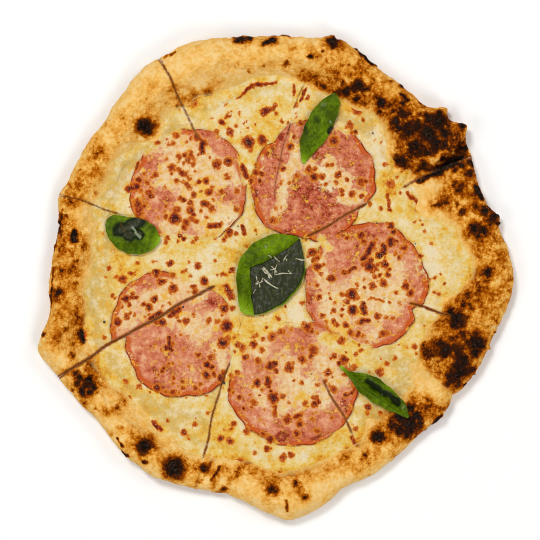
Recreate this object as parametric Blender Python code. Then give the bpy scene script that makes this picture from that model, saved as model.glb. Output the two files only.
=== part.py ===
"""Carbonara pizza, cut into eight slices that still lie together as a whole wheel.

Each slice has a dough body with a puffed rim and a layer of cream and melted cheese on
its floor. Five thin rounds of cooked ham lie on the cheese and are cut with it, and four
basil leaves lie on top.

Metres, +Z up. The origin is the middle of the flat underside. Sizes are given in
millimetres, and angles in degrees from +X towards +Y.
"""
import math

import bmesh
import bpy
import numpy as np

MM = 0.001

# Outline of the rim: a circle with swells (+) and dents (-).
# Each swell is its bearing, its half width in degrees and its height in millimetres.
RIM_RADIUS = 147.0
RIM_SWELLS = (
    (359, 5, 3.5), (14.5, 1.5, 3.5), (21, 6.5, -7), (38.4, 1.5, 8), (44.5, 1.3, 7),
    (52, 6, -4.5), (70, 3, 4), (76.5, 3, 7), (87, 5, 5.5), (109, 8.5, 10.5), (125, 7, 6),
    (160, 2.2, 3), (171, 9, -5), (197.5, 3.6, 10), (205, 6, 5.5), (231, 4, 3), (240, 5, 2),
    (257, 6, -3.5), (273, 6, 8.5), (289, 3.5, -4), (296, 6, -2), (311, 10, -10.5),
    (319, 2.5, 3), (325.8, 1.2, -2.5), (327, 9, -6), (342, 6, -3.5),
)

# The inner slope of the rim follows only the broad swells.
BROAD_FROM = 3.0
BROAD_SWELLS = tuple(swell for swell in RIM_SWELLS if swell[1] >= BROAD_FROM)

# Width of the bare rim, from its outer edge in to the cheese.
BARE_WIDTH = 33.0
BARE_SWELLS = (
    (5, 12, 4), (48, 11, 8), (92, 8, -5), (110, 13, 6), (136, 12, -4), (180, 16, -5), (225, 16, -8),
    (272, 11, 5), (298, 10, -5), (335, 12, 10),
)

# Height of the rim's crest.
CREST_HEIGHT = 15.5
CREST_SWELLS = (
    (20, 7, -2), (40, 9, 3), (109, 14, 3), (150, 12, -1), (198, 7, 1.5), (256, 8, -2),
    (272, 8, 1), (300, 10, -1), (335, 9, 2),
)
CREST_SHARE = 0.36      # the crest's distance from the outer edge, as a share of the bare width
WAIST_SHARE = 0.42      # height of the outermost line, as a share of the crest's height
FOOT_INSET = 7.0        # from the outermost line in to where the underside meets the table
SLOPE_RUN = 6.0         # how far the rim's slope runs on under the cheese
FLOOR_HEIGHT = 3.4      # thickness of the dough under the toppings

# Bubbles that stand out of the rim: middle x, y, radius, height.
BUBBLES = (
    (110, -48, 24, 5.0), (81, -92, 15, 3.0), (92, 84, 26, 4.5), (45, 120, 12, 2.5),
    (-40, 134, 30, 1.5), (-132, -42, 20, 1.5), (8, -138, 24, 1.5), (-66, -121, 11, 2.0),
    (-82, 95, 10, 1.5), (129, 26, 12, 1.5),
)

# The knife's cuts: bearing at the middle, bearing at the rim, how late the cut bends
# (1 is an even turn), and the angle that the slice on each side of it gives up.
CUTS = (
    (32.0, 27.2, 1, 0.3), (82.2, 72.5, 3, 0.05), (118.9, 117.4, 1, 0.12), (161.8, 161.8, 1, 0.12),
    (205.0, 209.0, 1, 0.3), (247.5, 253.0, 1, 0.1), (295.0, 297.3, 1, 0.15), (343.5, 344.0, 1, 0.2),
)
CUT_MIDDLE = (-7.6, 8.3)
CUT_GAP = 0.7           # least gap between two slices
TIP_RADIUS = 2.0        # where a slice's point ends

# The torn bubble beside the first cut: its lip stands on the first slice and hangs over
# the sunk edge of the last one.
TORN_FROM = 104.0
TORN_TO = 142.0
TORN_EASE = 10.0
LIP_HEIGHT = 4.5
LIP_WIDTH = 11.0
SUNK_DEPTH = 3.5
SUNK_WIDTH = 12.0

# The cream and cheese.
CHEESE_THICKNESS = 2.4
CHEESE_EDGE = 0.5
CLEARANCE = 0.3         # between two pieces that rest on each other

# The ham rounds: name, the slices that hold a piece of it, middle x, y, radius.
HAM_ROUNDS = (
    ("ham_upper_left", (2, 3, 4), -55.2, 56.5, 36.8),
    ("ham_top", (8, 1, 2), 24.1, 61.6, 37.9),
    ("ham_right", (8, 7), 57.8, -7.0, 37.6),
    ("ham_lower_left", (4,), -67.3, -37.5, 38.1),
    ("ham_lower_left", (5,), -59.1, -41.3, 36.8),
    ("ham_bottom", (6, 7), 9.5, -69.2, 39.5),
)
HAM_THICKNESS = 1.2
HAM_LIFT = 0.6          # over the level cheese, so that it clears the cheese on the slope
HAM_BEVEL = 0.9
HAM_WAVE = 0.5
HAM_WAVES = 3
HAM_SIDES = 26
HAM_CUT_GAP = 0.8
HAM_TOP = FLOOR_HEIGHT + CLEARANCE + CHEESE_THICKNESS + HAM_LIFT + HAM_THICKNESS

# The basil leaves: name, stem end x, y, tip x, y, half widths left and right of the midrib
# as seen from the stem, and how far the sides lift above the midrib.
LEAVES = (
    ("basil_left", -74.5, 22.0, -107.0, 35.0, 11.5, 11.0, 2.0),
    ("basil_top", 17.0, 71.0, 36.5, 115.5, 9.5, 10.0, 2.5),
    ("basil_centre", -22.0, -22.0, 13.5, 23.0, 20.5, 21.5, 3.0),
    ("basil_lower_right", 40.0, -58.0, 83.0, -89.5, 7.5, 5.5, 4.0),
)
LEAF_THICKNESS = 0.7
LEAF_LIFT = 0.8
LEAF_LENGTH_STEPS = 9
LEAF_WIDTH_STEPS = 6
LEAF_STEM_SHARE = 0.16  # the leaf's first stretch, which is little wider than its stem
LEAF_STEM_WIDTH = 1.2
LEAF_BELLY = 0.8        # under 1, the leaf is widest nearer its stem
LEAF_FULLNESS = 0.75    # under 1, its sides run out fuller to the tip

# How finely each slice is built.
REACH_ROUNDS = 12       # steps that find where the rim's outline crosses a line from the point
COLUMNS = 12
FLOOR_ROWS = (0.0, 0.34, 0.68, 1.0)
CHEESE_SLOPE_ROWS = (0.5, 1.0)
SLOPE_ROWS = (0.33, 0.66, 1.0)
SHOULDER_ANGLES = (66, 44, 22, 0)
UNDER_ANGLES = (-30, -60, -90)
SHARP_ANGLE = 50        # edges that turn more than this stay sharp in the shading


# ---------------------------------------------------------------- the rim's shape


def swollen(base, swells, bearing):
    """A size that follows the swells round the wheel, at a bearing in degrees."""
    size = np.full_like(np.asarray(bearing, float), base)
    for middle, half_width, height in swells:
        away = (bearing - middle + 180) % 360 - 180
        size += height * np.exp(-0.5 * (away / half_width) ** 2)
    return size


def bearing_of(x, y):
    return np.degrees(np.arctan2(y, x))


def inward(x, y, swells=RIM_SWELLS):
    """Distance in from the rim's outermost line."""
    return swollen(RIM_RADIUS, swells, bearing_of(x, y)) - np.hypot(x, y)


def bare_width(x, y):
    return swollen(BARE_WIDTH, BARE_SWELLS, bearing_of(x, y))


def crest_height(x, y):
    return swollen(CREST_HEIGHT, CREST_SWELLS, bearing_of(x, y))


def bubble_height(x, y):
    height = np.zeros_like(x)
    for middle_x, middle_y, radius, rise in BUBBLES:
        share = np.minimum(np.hypot(x - middle_x, y - middle_y) / radius, 1.0)
        height += rise * 0.5 * (1 + np.cos(math.pi * share))
    return height


def dough_height(x, y):
    """Height of the dough's top, on the floor, the slope and the rounded shoulder."""
    depth = np.maximum(inward(x, y), 0.0)
    crest_at = CREST_SHARE * bare_width(x, y)
    crest = crest_height(x, y)
    broad_depth = inward(x, y, BROAD_SWELLS)
    slope_share = np.clip((broad_depth - crest_at) / (bare_width(x, y) + SLOPE_RUN - crest_at), 0, 1)
    slope = FLOOR_HEIGHT + (crest - FLOOR_HEIGHT) * 0.5 * (1 + np.cos(math.pi * slope_share))
    waist = WAIST_SHARE * crest
    round_share = np.sqrt(np.clip(1 - (1 - depth / crest_at) ** 2, 0, 1))
    shoulder = waist + (crest - waist) * round_share
    on_shoulder = depth < crest_at
    swell = bubble_height(x, y) * np.where(on_shoulder, round_share, 1.0)
    return np.where(on_shoulder, shoulder, slope) + swell


# ---------------------------------------------------------------- the slices


def cut_bearing(cut, run):
    at_middle, at_rim, bend, _ = CUTS[cut % len(CUTS)]
    turn = 360 * (cut // len(CUTS))
    return turn + at_middle + (at_rim - at_middle) * (run / RIM_RADIUS) ** bend


def slice_place(piece, across, run):
    """x and y of a point of a slice: across it from 0 to 1, and run from its point."""
    first = cut_bearing(piece, run) + CUTS[piece][-1]
    last = cut_bearing(piece + 1, run) - CUTS[(piece + 1) % len(CUTS)][-1]
    bearing = np.radians(first + (last - first) * across)
    middle = math.radians((CUTS[piece][0] + cut_bearing(piece + 1, 0)) / 2)
    half_angle = math.radians(cut_bearing(piece + 1, 0) - CUTS[piece][0]) / 2
    away = CUT_GAP / 2 / math.sin(half_angle)
    x = CUT_MIDDLE[0] + away * math.cos(middle) + run * np.cos(bearing)
    y = CUT_MIDDLE[1] + away * math.sin(middle) + run * np.sin(bearing)
    return x, y


def slice_reach(piece, across, swells=RIM_SWELLS):
    """Run from the slice's point out to the rim's outermost line."""
    run = np.full_like(across, RIM_RADIUS)
    for _ in range(REACH_ROUNDS):
        run += inward(*slice_place(piece, across, run), swells)
    return run


def torn_height(piece, across, run):
    """The lip on the first slice, and the sunk edge of the last one."""
    window = np.clip((run - TORN_FROM) / TORN_EASE, 0, 1) * np.clip((TORN_TO - run) / TORN_EASE, 0, 1)
    width = np.radians(cut_bearing(piece + 1, run) - cut_bearing(piece, run)) * run
    if piece == 0:
        return window * LIP_HEIGHT * np.exp(-(across * width / LIP_WIDTH) ** 2)
    if piece == len(CUTS) - 1:
        return -window * SUNK_DEPTH * np.exp(-((1 - across) * width / SUNK_WIDTH) ** 2)
    return np.zeros_like(run)


def floor_rows(piece, across):
    """Runs of the rows on the floor, then up the part of the slope that the cheese covers."""
    reach = slice_reach(piece, across, BROAD_SWELLS)
    floor_end = reach - bare_width(*slice_place(piece, across, reach)) - SLOPE_RUN
    rows = [TIP_RADIUS + (floor_end - TIP_RADIUS) * share for share in FLOOR_ROWS]
    rows += [floor_end + SLOPE_RUN * share for share in CHEESE_SLOPE_ROWS]
    return rows


def dough_profile(piece, across):
    """The closed profile of each column of a slice, as rows of (x, y, z) arrays."""
    rows = floor_rows(piece, across)
    reach = slice_reach(piece, across)
    crest_at = CREST_SHARE * bare_width(*slice_place(piece, across, reach))
    rows += [rows[-1] + (reach - crest_at - rows[-1]) * share for share in SLOPE_ROWS]
    profile = []
    for run in rows:
        x, y = slice_place(piece, across, run)
        profile.append((x, y, dough_height(x, y) + torn_height(piece, across, run)))
    x, y = slice_place(piece, across, reach)
    crest = crest_height(x, y)
    waist = WAIST_SHARE * crest
    for angle in SHOULDER_ANGLES:
        run = reach - crest_at * (1 - math.cos(math.radians(angle)))
        x, y = slice_place(piece, across, run)
        rise = math.sin(math.radians(angle))
        swell = bubble_height(x, y) + torn_height(piece, across, run)
        profile.append((x, y, waist + (crest - waist + swell) * rise))
    for angle in UNDER_ANGLES:
        run = reach - FOOT_INSET * (1 - math.cos(math.radians(angle)))
        x, y = slice_place(piece, across, run)
        profile.append((x, y, waist * (1 + math.sin(math.radians(angle)))))
    for run in reversed(floor_rows(piece, across)):
        x, y = slice_place(piece, across, run)
        profile.append((x, y, np.zeros_like(x)))
    return profile


def grid_of_points(bm, rows):
    """Vertices for rows of (x, y, z) arrays, one list of vertices for each row."""
    return [
        [bm.verts.new((x * MM, y * MM, z * MM)) for x, y, z in zip(*row)]
        for row in rows
    ]


def skin(bm, grid):
    """Pairs of triangles between the rows of a grid of vertices, all split the same way."""
    for low, high in zip(grid, grid[1:]):
        for left in range(len(low) - 1):
            bm.faces.new((low[left], high[left], high[left + 1]))
            bm.faces.new((low[left], high[left + 1], low[left + 1]))


def layer(over, under):
    """A closed sheet between two grids of the same size, which are split alike."""
    bm = bmesh.new()
    upper = grid_of_points(bm, over)
    lower = grid_of_points(bm, under)
    skin(bm, upper)
    skin(bm, lower)
    first = [row[0] for row in upper], [row[0] for row in lower]
    last = [row[-1] for row in upper], [row[-1] for row in lower]
    for high, low in (first, last, (upper[0], lower[0]), (upper[-1], lower[-1])):
        for near in range(len(high) - 1):
            bm.faces.new((high[near], high[near + 1], low[near + 1], low[near]))
    return bm


def dough_mesh(piece):
    """A wedge: the skin over and under it, its two cut faces and its blunt point."""
    across = np.linspace(0, 1, COLUMNS + 1)
    bm = bmesh.new()
    grid = grid_of_points(bm, dough_profile(piece, across))
    skin(bm, grid)
    paired = len(FLOOR_ROWS) + len(CHEESE_SLOPE_ROWS)
    for side in (0, -1):
        edge = [row[side] for row in grid]
        for near in range(paired - 1):
            bm.faces.new((edge[near], edge[near + 1], edge[-2 - near], edge[-1 - near]))
        bm.faces.new(edge[paired - 1:len(edge) - paired + 1])
    bm.faces.new(grid[0] + grid[-1][::-1])
    return bm


def cheese_mesh(piece):
    """The cheese on a slice's floor: its underside follows the dough, its top is fuller."""
    across = np.linspace(0, 1, COLUMNS + 1)
    rows = floor_rows(piece, across)
    under = []
    over = []
    for number, run in enumerate(rows):
        x, y = slice_place(piece, across, run)
        bottom = dough_height(x, y) + torn_height(piece, across, run) + CLEARANCE
        last = number == len(rows) - 1
        under.append((x, y, bottom))
        over.append((x, y, bottom + (CHEESE_EDGE if last else CHEESE_THICKNESS)))
    return layer(over, under)


# ---------------------------------------------------------------- ham and basil


def ham_mesh(piece, middle_x, middle_y, radius):
    """The part of a thin, slightly wavy round of ham that lies on one slice."""
    base = HAM_TOP - HAM_THICKNESS
    bm = bmesh.new()
    bmesh.ops.create_circle(bm, cap_ends=True, segments=HAM_SIDES, radius=radius)
    for vert in bm.verts:
        around = math.atan2(vert.co.y, vert.co.x)
        swell = 1 + HAM_WAVE / radius * math.sin(HAM_WAVES * around + middle_x)
        vert.co.x = vert.co.x * swell + middle_x
        vert.co.y = vert.co.y * swell + middle_y
        vert.co.z = base
    body = bmesh.ops.extrude_face_region(bm, geom=bm.faces[:])
    top = [item for item in body["geom"] if isinstance(item, bmesh.types.BMVert)]
    bmesh.ops.translate(bm, vec=(0, 0, HAM_THICKNESS / 2), verts=top)
    bmesh.ops.recalc_face_normals(bm, faces=bm.faces[:])
    level = min(vert.co.z for vert in top)
    lid = [face for face in bm.faces if all(vert.co.z >= level for vert in face.verts)]
    bmesh.ops.inset_region(bm, faces=lid, thickness=HAM_BEVEL, depth=HAM_THICKNESS / 2)
    for cut, side in ((piece, 1), (piece + 1, -1)):
        run = math.hypot(middle_x - CUT_MIDDLE[0], middle_y - CUT_MIDDLE[1])
        bearing = math.radians(cut_bearing(cut, run))
        normal = (-math.sin(bearing) * side, math.cos(bearing) * side, 0)
        point = (CUT_MIDDLE[0] + normal[0] * HAM_CUT_GAP / 2,
                 CUT_MIDDLE[1] + normal[1] * HAM_CUT_GAP / 2, 0)
        everything = bm.verts[:] + bm.edges[:] + bm.faces[:]
        bmesh.ops.bisect_plane(bm, geom=everything, plane_co=point, plane_no=normal, clear_inner=True)
        open_edges = [edge for edge in bm.edges if edge.is_boundary]
        bmesh.ops.edgeloop_fill(bm, edges=open_edges)
    bmesh.ops.scale(bm, vec=(MM, MM, MM), verts=bm.verts[:])
    return bm


def leaf_half_width(share):
    """Half width of a leaf along its length, 1 at its widest."""
    blade = np.clip((share - LEAF_STEM_SHARE) / (1 - LEAF_STEM_SHARE), 0, 1)
    return np.sin(math.pi * blade ** LEAF_BELLY) ** LEAF_FULLNESS


def leaf_mesh(stem_x, stem_y, tip_x, tip_y, left_width, right_width, lift):
    """A thin leaf with lifted sides, lying on whatever is under it."""
    length = math.hypot(tip_x - stem_x, tip_y - stem_y)
    along_x, along_y = (tip_x - stem_x) / length, (tip_y - stem_y) / length
    sideways = np.linspace(-1, 1, LEAF_WIDTH_STEPS + 1)
    over = []
    under = []
    for share in np.linspace(0.0, 1.0, LEAF_LENGTH_STEPS + 1):
        widths = np.where(sideways > 0, left_width, right_width) * leaf_half_width(np.array(share))
        off = sideways * np.maximum(widths, LEAF_STEM_WIDTH)
        x = stem_x + along_x * share * length - along_y * off
        y = stem_y + along_y * share * length + along_x * off
        ground = np.maximum(HAM_TOP, dough_height(x, y)) + LEAF_LIFT
        bottom = np.max(ground) + lift * np.abs(sideways) ** 2 * leaf_half_width(np.array(share))
        under.append((x, y, bottom))
        over.append((x, y, bottom + LEAF_THICKNESS))
    return layer(over, under)


# ---------------------------------------------------------------- objects


def finish_material(name, colour, roughness):
    material = bpy.data.materials.new(name)
    material.use_nodes = True
    shader = material.node_tree.nodes["Principled BSDF"]
    shader.inputs["Base Color"].default_value = (*colour, 1.0)
    shader.inputs["Roughness"].default_value = roughness
    shader.inputs["Metallic"].default_value = 0.0
    return material


def add_piece(name, bm, material):
    """An object from a finished mesh, with its faces turned outwards and shaded smooth."""
    bmesh.ops.recalc_face_normals(bm, faces=bm.faces[:])
    mesh = bpy.data.meshes.new(name)
    bm.to_mesh(mesh)
    bm.free()
    mesh.shade_smooth()
    mesh.set_sharp_from_angle(angle=math.radians(SHARP_ANGLE))
    mesh.materials.append(material)
    piece = bpy.data.objects.new(name, mesh)
    bpy.context.collection.objects.link(piece)
    return piece


def centre_on_origin(pieces):
    """Moves the meshes so that the middle of their box stands on the origin."""
    corners = [vert.co for piece in pieces for vert in piece.data.vertices]
    shift_x = -(min(co.x for co in corners) + max(co.x for co in corners)) / 2
    shift_y = -(min(co.y for co in corners) + max(co.y for co in corners)) / 2
    for piece in pieces:
        for vert in piece.data.vertices:
            vert.co.x += shift_x
            vert.co.y += shift_y


def build():
    for old in list(bpy.data.objects):
        bpy.data.objects.remove(old, do_unlink=True)
    crust = finish_material("baked_dough", (0.62, 0.40, 0.18), 0.75)
    cheese = finish_material("cream_and_cheese", (0.80, 0.66, 0.36), 0.4)
    ham = finish_material("cooked_ham", (0.60, 0.22, 0.14), 0.45)
    basil = finish_material("basil_leaf", (0.06, 0.18, 0.02), 0.35)
    pieces = []
    for piece in range(len(CUTS)):
        pieces.append(add_piece(f"dough_{piece + 1}", dough_mesh(piece), crust))
        pieces.append(add_piece(f"cheese_{piece + 1}", cheese_mesh(piece), cheese))
    for name, slices, middle_x, middle_y, radius in HAM_ROUNDS:
        for number in slices:
            mesh = ham_mesh(number - 1, middle_x, middle_y, radius)
            pieces.append(add_piece(f"{name}_{number}", mesh, ham))
    for name, *shape in LEAVES:
        pieces.append(add_piece(name, leaf_mesh(*shape), basil))
    centre_on_origin(pieces)


build()
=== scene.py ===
"""The looks of a carbonara pizza: eight slices of baked dough that lie together as a wheel,
with cream and melted cheese, rounds of cooked ham and basil leaves on them.

The frame is in metres. The shapes are worked out in millimetres, and angles are degrees
from +X towards +Y.
"""
import math

import bpy
import numpy as np
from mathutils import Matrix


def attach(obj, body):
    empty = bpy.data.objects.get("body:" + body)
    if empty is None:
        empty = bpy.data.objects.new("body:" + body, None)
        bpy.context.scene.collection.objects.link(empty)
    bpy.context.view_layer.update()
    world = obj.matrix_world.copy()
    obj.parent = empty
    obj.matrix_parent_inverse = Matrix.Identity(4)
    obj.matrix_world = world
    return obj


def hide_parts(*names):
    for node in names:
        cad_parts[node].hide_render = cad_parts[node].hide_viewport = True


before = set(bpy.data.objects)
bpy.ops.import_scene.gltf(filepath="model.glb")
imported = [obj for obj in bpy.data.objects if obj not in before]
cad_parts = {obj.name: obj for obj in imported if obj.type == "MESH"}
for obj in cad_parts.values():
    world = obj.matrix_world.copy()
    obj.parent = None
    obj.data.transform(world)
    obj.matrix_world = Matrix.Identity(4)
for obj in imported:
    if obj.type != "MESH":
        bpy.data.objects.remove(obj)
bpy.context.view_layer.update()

# ---------------------------------------------------------------- the baked dough
# Each slice is a wedge of wheat dough, stretched thin by hand and baked on a hot stone. Its
# rim puffed up, set with a floury skin and charred where it blistered. The knife's cuts
# part the slices, and one big bubble beside the first cut burst in the oven.

MM = 0.001

# Outline of the rim: a circle with swells (+) and dents (-), each a bearing, a half width
# in degrees and a height.
RIM_RADIUS = 147.0
RIM_SWELLS = (
    (359, 5, 3.5), (14.5, 1.5, 3.5), (21, 6.5, -7), (38.4, 1.5, 8), (44.5, 1.3, 7), (52, 6, -4.5),
    (70, 3, 4), (76.5, 3, 7), (87, 5, 5.5), (109, 8.5, 10.5), (125, 7, 6), (160, 2.2, 3), (171, 9, -5),
    (197.5, 3.6, 10), (205, 6, 5.5), (231, 4, 3), (240, 5, 2), (257, 6, -3.5), (273, 6, 8.5),
    (289, 3.5, -4), (296, 6, -2), (311, 10, -10.5), (319, 2.5, 3), (325.8, 1.2, -2.5), (327, 9, -6),
    (342, 6, -3.5),
)
BROAD_FROM = 3.0
BROAD_SWELLS = tuple(swell for swell in RIM_SWELLS if swell[1] >= BROAD_FROM)
BARE_WIDTH = 33.0
BARE_SWELLS = (
    (5, 12, 4), (40, 6, 11), (56, 6, -7), (92, 8, -5), (110, 13, 6), (136, 12, -4), (180, 16, -5),
    (225, 16, -8), (272, 11, 5), (298, 10, -5), (335, 12, 10),
)
CREAM_WIDTH = 31.0      # bare rim that the cream leaves
CREAM_SWELLS = (
    (7, 9, -5), (24, 3.5, 9), (40, 7, 18), (56, 6, -5), (77, 6, 5), (93, 9, -8), (110, 10, 6),
    (131.5, 3, 7), (146, 14, -7), (182, 18, -6), (198, 4, 6), (215, 12, -5), (252, 11, -9), (274, 7, 2),
    (290, 9, -7), (302, 2, 5), (306, 6, -6), (318, 5, -4), (338, 9, 9), (351, 4, 6),
)
CREST_HEIGHT = 15.5
CREST_SWELLS = (
    (20, 7, -2), (40, 9, 3), (109, 14, 3), (150, 12, -1), (198, 7, 1.5), (256, 8, -2), (272, 8, 1),
    (300, 10, -1), (335, 9, 2),
)
CREST_SHARE = 0.36
WAIST_SHARE = 0.42
SLOPE_RUN = 6.0
FLOOR_HEIGHT = 3.4
BUBBLES = (
    (110, -48, 24, 5), (81, -92, 15, 3), (92, 84, 26, 4.5), (45, 120, 12, 2.5), (-40, 134, 30, 1.5),
    (-132, -42, 20, 1.5), (8, -138, 24, 1.5), (-66, -121, 11, 2), (-82, 95, 10, 1.5), (129, 26, 12, 1.5),
)

# The cuts: bearing at the middle, bearing at the rim, how late the cut bends.
CUTS = (
    (32.0, 27.2, 1), (82.2, 72.5, 3), (118.9, 117.4, 1), (161.8, 161.8, 1),
    (205.0, 209.0, 1), (247.5, 253.0, 1), (295.0, 297.3, 1), (343.5, 344.0, 1),
)
CUT_MIDDLE = (-7.6, 8.3)
TIP_RADIUS = 1.2
REACH_ROUNDS = 12       # steps that find where the rim's outline crosses a line from the middle

# How a cut wanders: how far, the run it takes to turn, and how the cuts' starts differ.
WANDER = ((0.55, 9.0, 1.3), (0.3, 4.1, 2.1))
WANDER_CALM = 8.0       # keeps the wander small near the middle

# How far each cut stands open along its run: from, to, openness.
CUT_OPEN = (
    ((30, 76, 0.75), (98, 190, 0.6)),
    ((40, 92, 0.35), (97, 118, 0.35), (118, 190, 0.15)),
    ((88, 190, 0.55),),
    ((96, 190, 0.5),),
    ((34, 190, 0.95),),
    ((66, 132, 0.6), (132, 190, 0.15)),
    ((82, 124, 0.6), (124, 190, 0.1)),
    ((94, 124, 0.8), (124, 190, 0.2)),
)
SHUT_GAP = 0.03         # half the gap of a cut that is pressed shut
OPEN_GAP = 0.20         # what an open cut adds to it
OPEN_EASE = 3.0

# The burst bubble: its torn lip runs from the cut out to the rim on the first slice, and
# the hollow lies between the lip and the cut.
LIP_FROM = (98.0, 69.0)
LIP_TO = (119.0, 87.0)
LIP_RISE = 1.6
LIP_WIDTH = 5.0
LIP_START = (-0.05, 0.25)       # shares along the lip between which it rises
HOLLOW_FLOOR = 6.5
HOLLOW_EASE = 1.4
SUNK_DEPTH = 3.5
SUNK_WIDTH = 9.0
SUNK_FROM = 104.0
SUNK_EASE = 10.0


def swollen(base, swells, bearing):
    """A size that follows the swells round the wheel."""
    size = np.full_like(np.asarray(bearing, float), base)
    for middle, half_width, height in swells:
        away = (bearing - middle + 180) % 360 - 180
        size += height * np.exp(-0.5 * (away / half_width) ** 2)
    return size


def bearing_of(x, y):
    return np.degrees(np.arctan2(y, x))


def inward(x, y, swells=RIM_SWELLS):
    """Distance in from the rim's outermost line."""
    return swollen(RIM_RADIUS, swells, bearing_of(x, y)) - np.hypot(x, y)


def bare_width(x, y):
    return swollen(BARE_WIDTH, BARE_SWELLS, bearing_of(x, y))


def cream_width(x, y):
    return swollen(CREAM_WIDTH, CREAM_SWELLS, bearing_of(x, y))


def crest_height(x, y):
    return swollen(CREST_HEIGHT, CREST_SWELLS, bearing_of(x, y))


def bubble_height(x, y):
    height = np.zeros_like(x)
    for middle_x, middle_y, radius, rise in BUBBLES:
        share = np.minimum(np.hypot(x - middle_x, y - middle_y) / radius, 1.0)
        height += rise * 0.5 * (1 + np.cos(math.pi * share))
    return height


def dough_height(x, y):
    """Height of the dough's top, on the floor, the slope and the rounded shoulder."""
    depth = np.maximum(inward(x, y), 0.0)
    crest_at = CREST_SHARE * bare_width(x, y)
    crest = crest_height(x, y)
    broad_depth = inward(x, y, BROAD_SWELLS)
    slope_share = np.clip((broad_depth - crest_at) / (bare_width(x, y) + SLOPE_RUN - crest_at), 0, 1)
    slope = FLOOR_HEIGHT + (crest - FLOOR_HEIGHT) * 0.5 * (1 + np.cos(math.pi * slope_share))
    waist = WAIST_SHARE * crest
    round_share = np.sqrt(np.clip(1 - (1 - depth / crest_at) ** 2, 0, 1))
    shoulder = waist + (crest - waist) * round_share
    on_shoulder = depth < crest_at
    swell = bubble_height(x, y) * np.where(on_shoulder, round_share, 1.0)
    return np.where(on_shoulder, shoulder, slope) + swell


def cut_bearing(cut, run):
    number = cut % len(CUTS)
    at_middle, at_rim, bend = CUTS[number]
    start = 360 * (cut // len(CUTS)) + at_middle
    bent = (at_rim - at_middle) * (run / RIM_RADIUS) ** bend
    wander = sum(size * np.sin(run / pace + shift * number) for size, pace, shift in WANDER)
    return start + bent + np.degrees(wander / (run + WANDER_CALM))


def cut_open(cut, run):
    """How far a cut stands open, from 0 to 1."""
    share = np.zeros_like(run)
    for start, end, openness in CUT_OPEN[cut % len(CUTS)]:
        window = np.clip((run - start) / OPEN_EASE, 0, 1) * np.clip((end - run) / OPEN_EASE, 0, 1)
        share = np.maximum(share, openness * window)
    return share


def slice_place(piece, across, run):
    """x and y of a point of a slice: across it from 0 to 1, and run from the wheel's middle."""
    gap_first = SHUT_GAP + OPEN_GAP * cut_open(piece, run)
    gap_last = SHUT_GAP + OPEN_GAP * cut_open(piece + 1, run)
    first = np.radians(cut_bearing(piece, run)) + gap_first / run
    last = np.radians(cut_bearing(piece + 1, run)) - gap_last / run
    bearing = first + (last - first) * across
    return CUT_MIDDLE[0] + run * np.cos(bearing), CUT_MIDDLE[1] + run * np.sin(bearing)


def slice_reach(piece, across, swells=RIM_SWELLS):
    """Run from the middle out to the rim's outermost line."""
    run = np.full_like(across, RIM_RADIUS)
    for _ in range(REACH_ROUNDS):
        run += inward(*slice_place(piece, across, run), swells)
    return run


def off_cut(cut, x, y):
    """Signed distance from a cut, positive on the side of the slice that follows it."""
    run = np.hypot(x - CUT_MIDDLE[0], y - CUT_MIDDLE[1])
    away = bearing_of(x - CUT_MIDDLE[0], y - CUT_MIDDLE[1]) - cut_bearing(cut, run)
    return np.radians((away + 180) % 360 - 180) * run


def cut_wear(x, y, width):
    """1 on an open cut's line, falling off within a width."""
    run = np.hypot(x - CUT_MIDDLE[0], y - CUT_MIDDLE[1])
    wear = np.zeros_like(x)
    for cut in range(len(CUTS)):
        off = off_cut(cut, x, y)
        near = np.exp(-(off / width) ** 2) * (np.abs(off) < 6 * width)
        wear = np.maximum(wear, cut_open(cut, run) * near)
    return wear


LATTICE_SIDE = 48
LATTICE_SEED = 11
LATTICE = np.random.default_rng(LATTICE_SEED).random((LATTICE_SIDE,) * 3)
SEED_STRIDE = 17.3      # how far apart two seeds start in the lattice
FINER_SHARE = 0.55      # how strong each finer layer of noise is beside the one before it
GRAIN_GAIN = 1.6        # stretches layered noise to about -1 to 1
MARK_REACH = 2.3        # a mark ends at so many of its radii


def lumps(x, y, z, size, seed):
    """Smooth noise from 0 to 1, with lumps of a size."""
    low_corner = []
    part = []
    for axis, place in enumerate((x, y, z)):
        cell = place / size + SEED_STRIDE * (seed + 1) * (axis + 1)
        low_corner.append(np.floor(cell).astype(int))
        share = cell - np.floor(cell)
        part.append(share * share * (3 - 2 * share))
    total = np.zeros_like(x)
    for corner in np.ndindex(2, 2, 2):
        weight = np.ones_like(x)
        index = []
        for axis, step in enumerate(corner):
            weight = weight * (part[axis] if step else 1 - part[axis])
            index.append((low_corner[axis] + step) % LATTICE_SIDE)
        total += weight * LATTICE[tuple(index)]
    return total


def grain(x, y, z, size, octaves=3, seed=0):
    """Noise from about -1 to 1, in lumps of a size and finer ones on them."""
    total = np.zeros_like(x)
    reach = 0.0
    for octave in range(octaves):
        weight = FINER_SHARE ** octave
        total += weight * (2 * lumps(x, y, z, size / 2 ** octave, seed + octave) - 1)
        reach += weight
    return GRAIN_GAIN * total / reach


def layered(x, y, z, layers):
    """Noise summed from layers of (height, size, octaves, seed)."""
    return sum(height * grain(x, y, z, size, octaves, seed) for height, size, octaves, seed in layers)


def wobbled(x, y, amount, size, seed):
    """Places moved about a little, so that round marks get uneven edges."""
    flat = np.zeros_like(x)
    return (x + amount * grain(x, y, flat, size, 2, seed),
            y + amount * grain(x, y, flat, size, 2, seed + 5))


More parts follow.
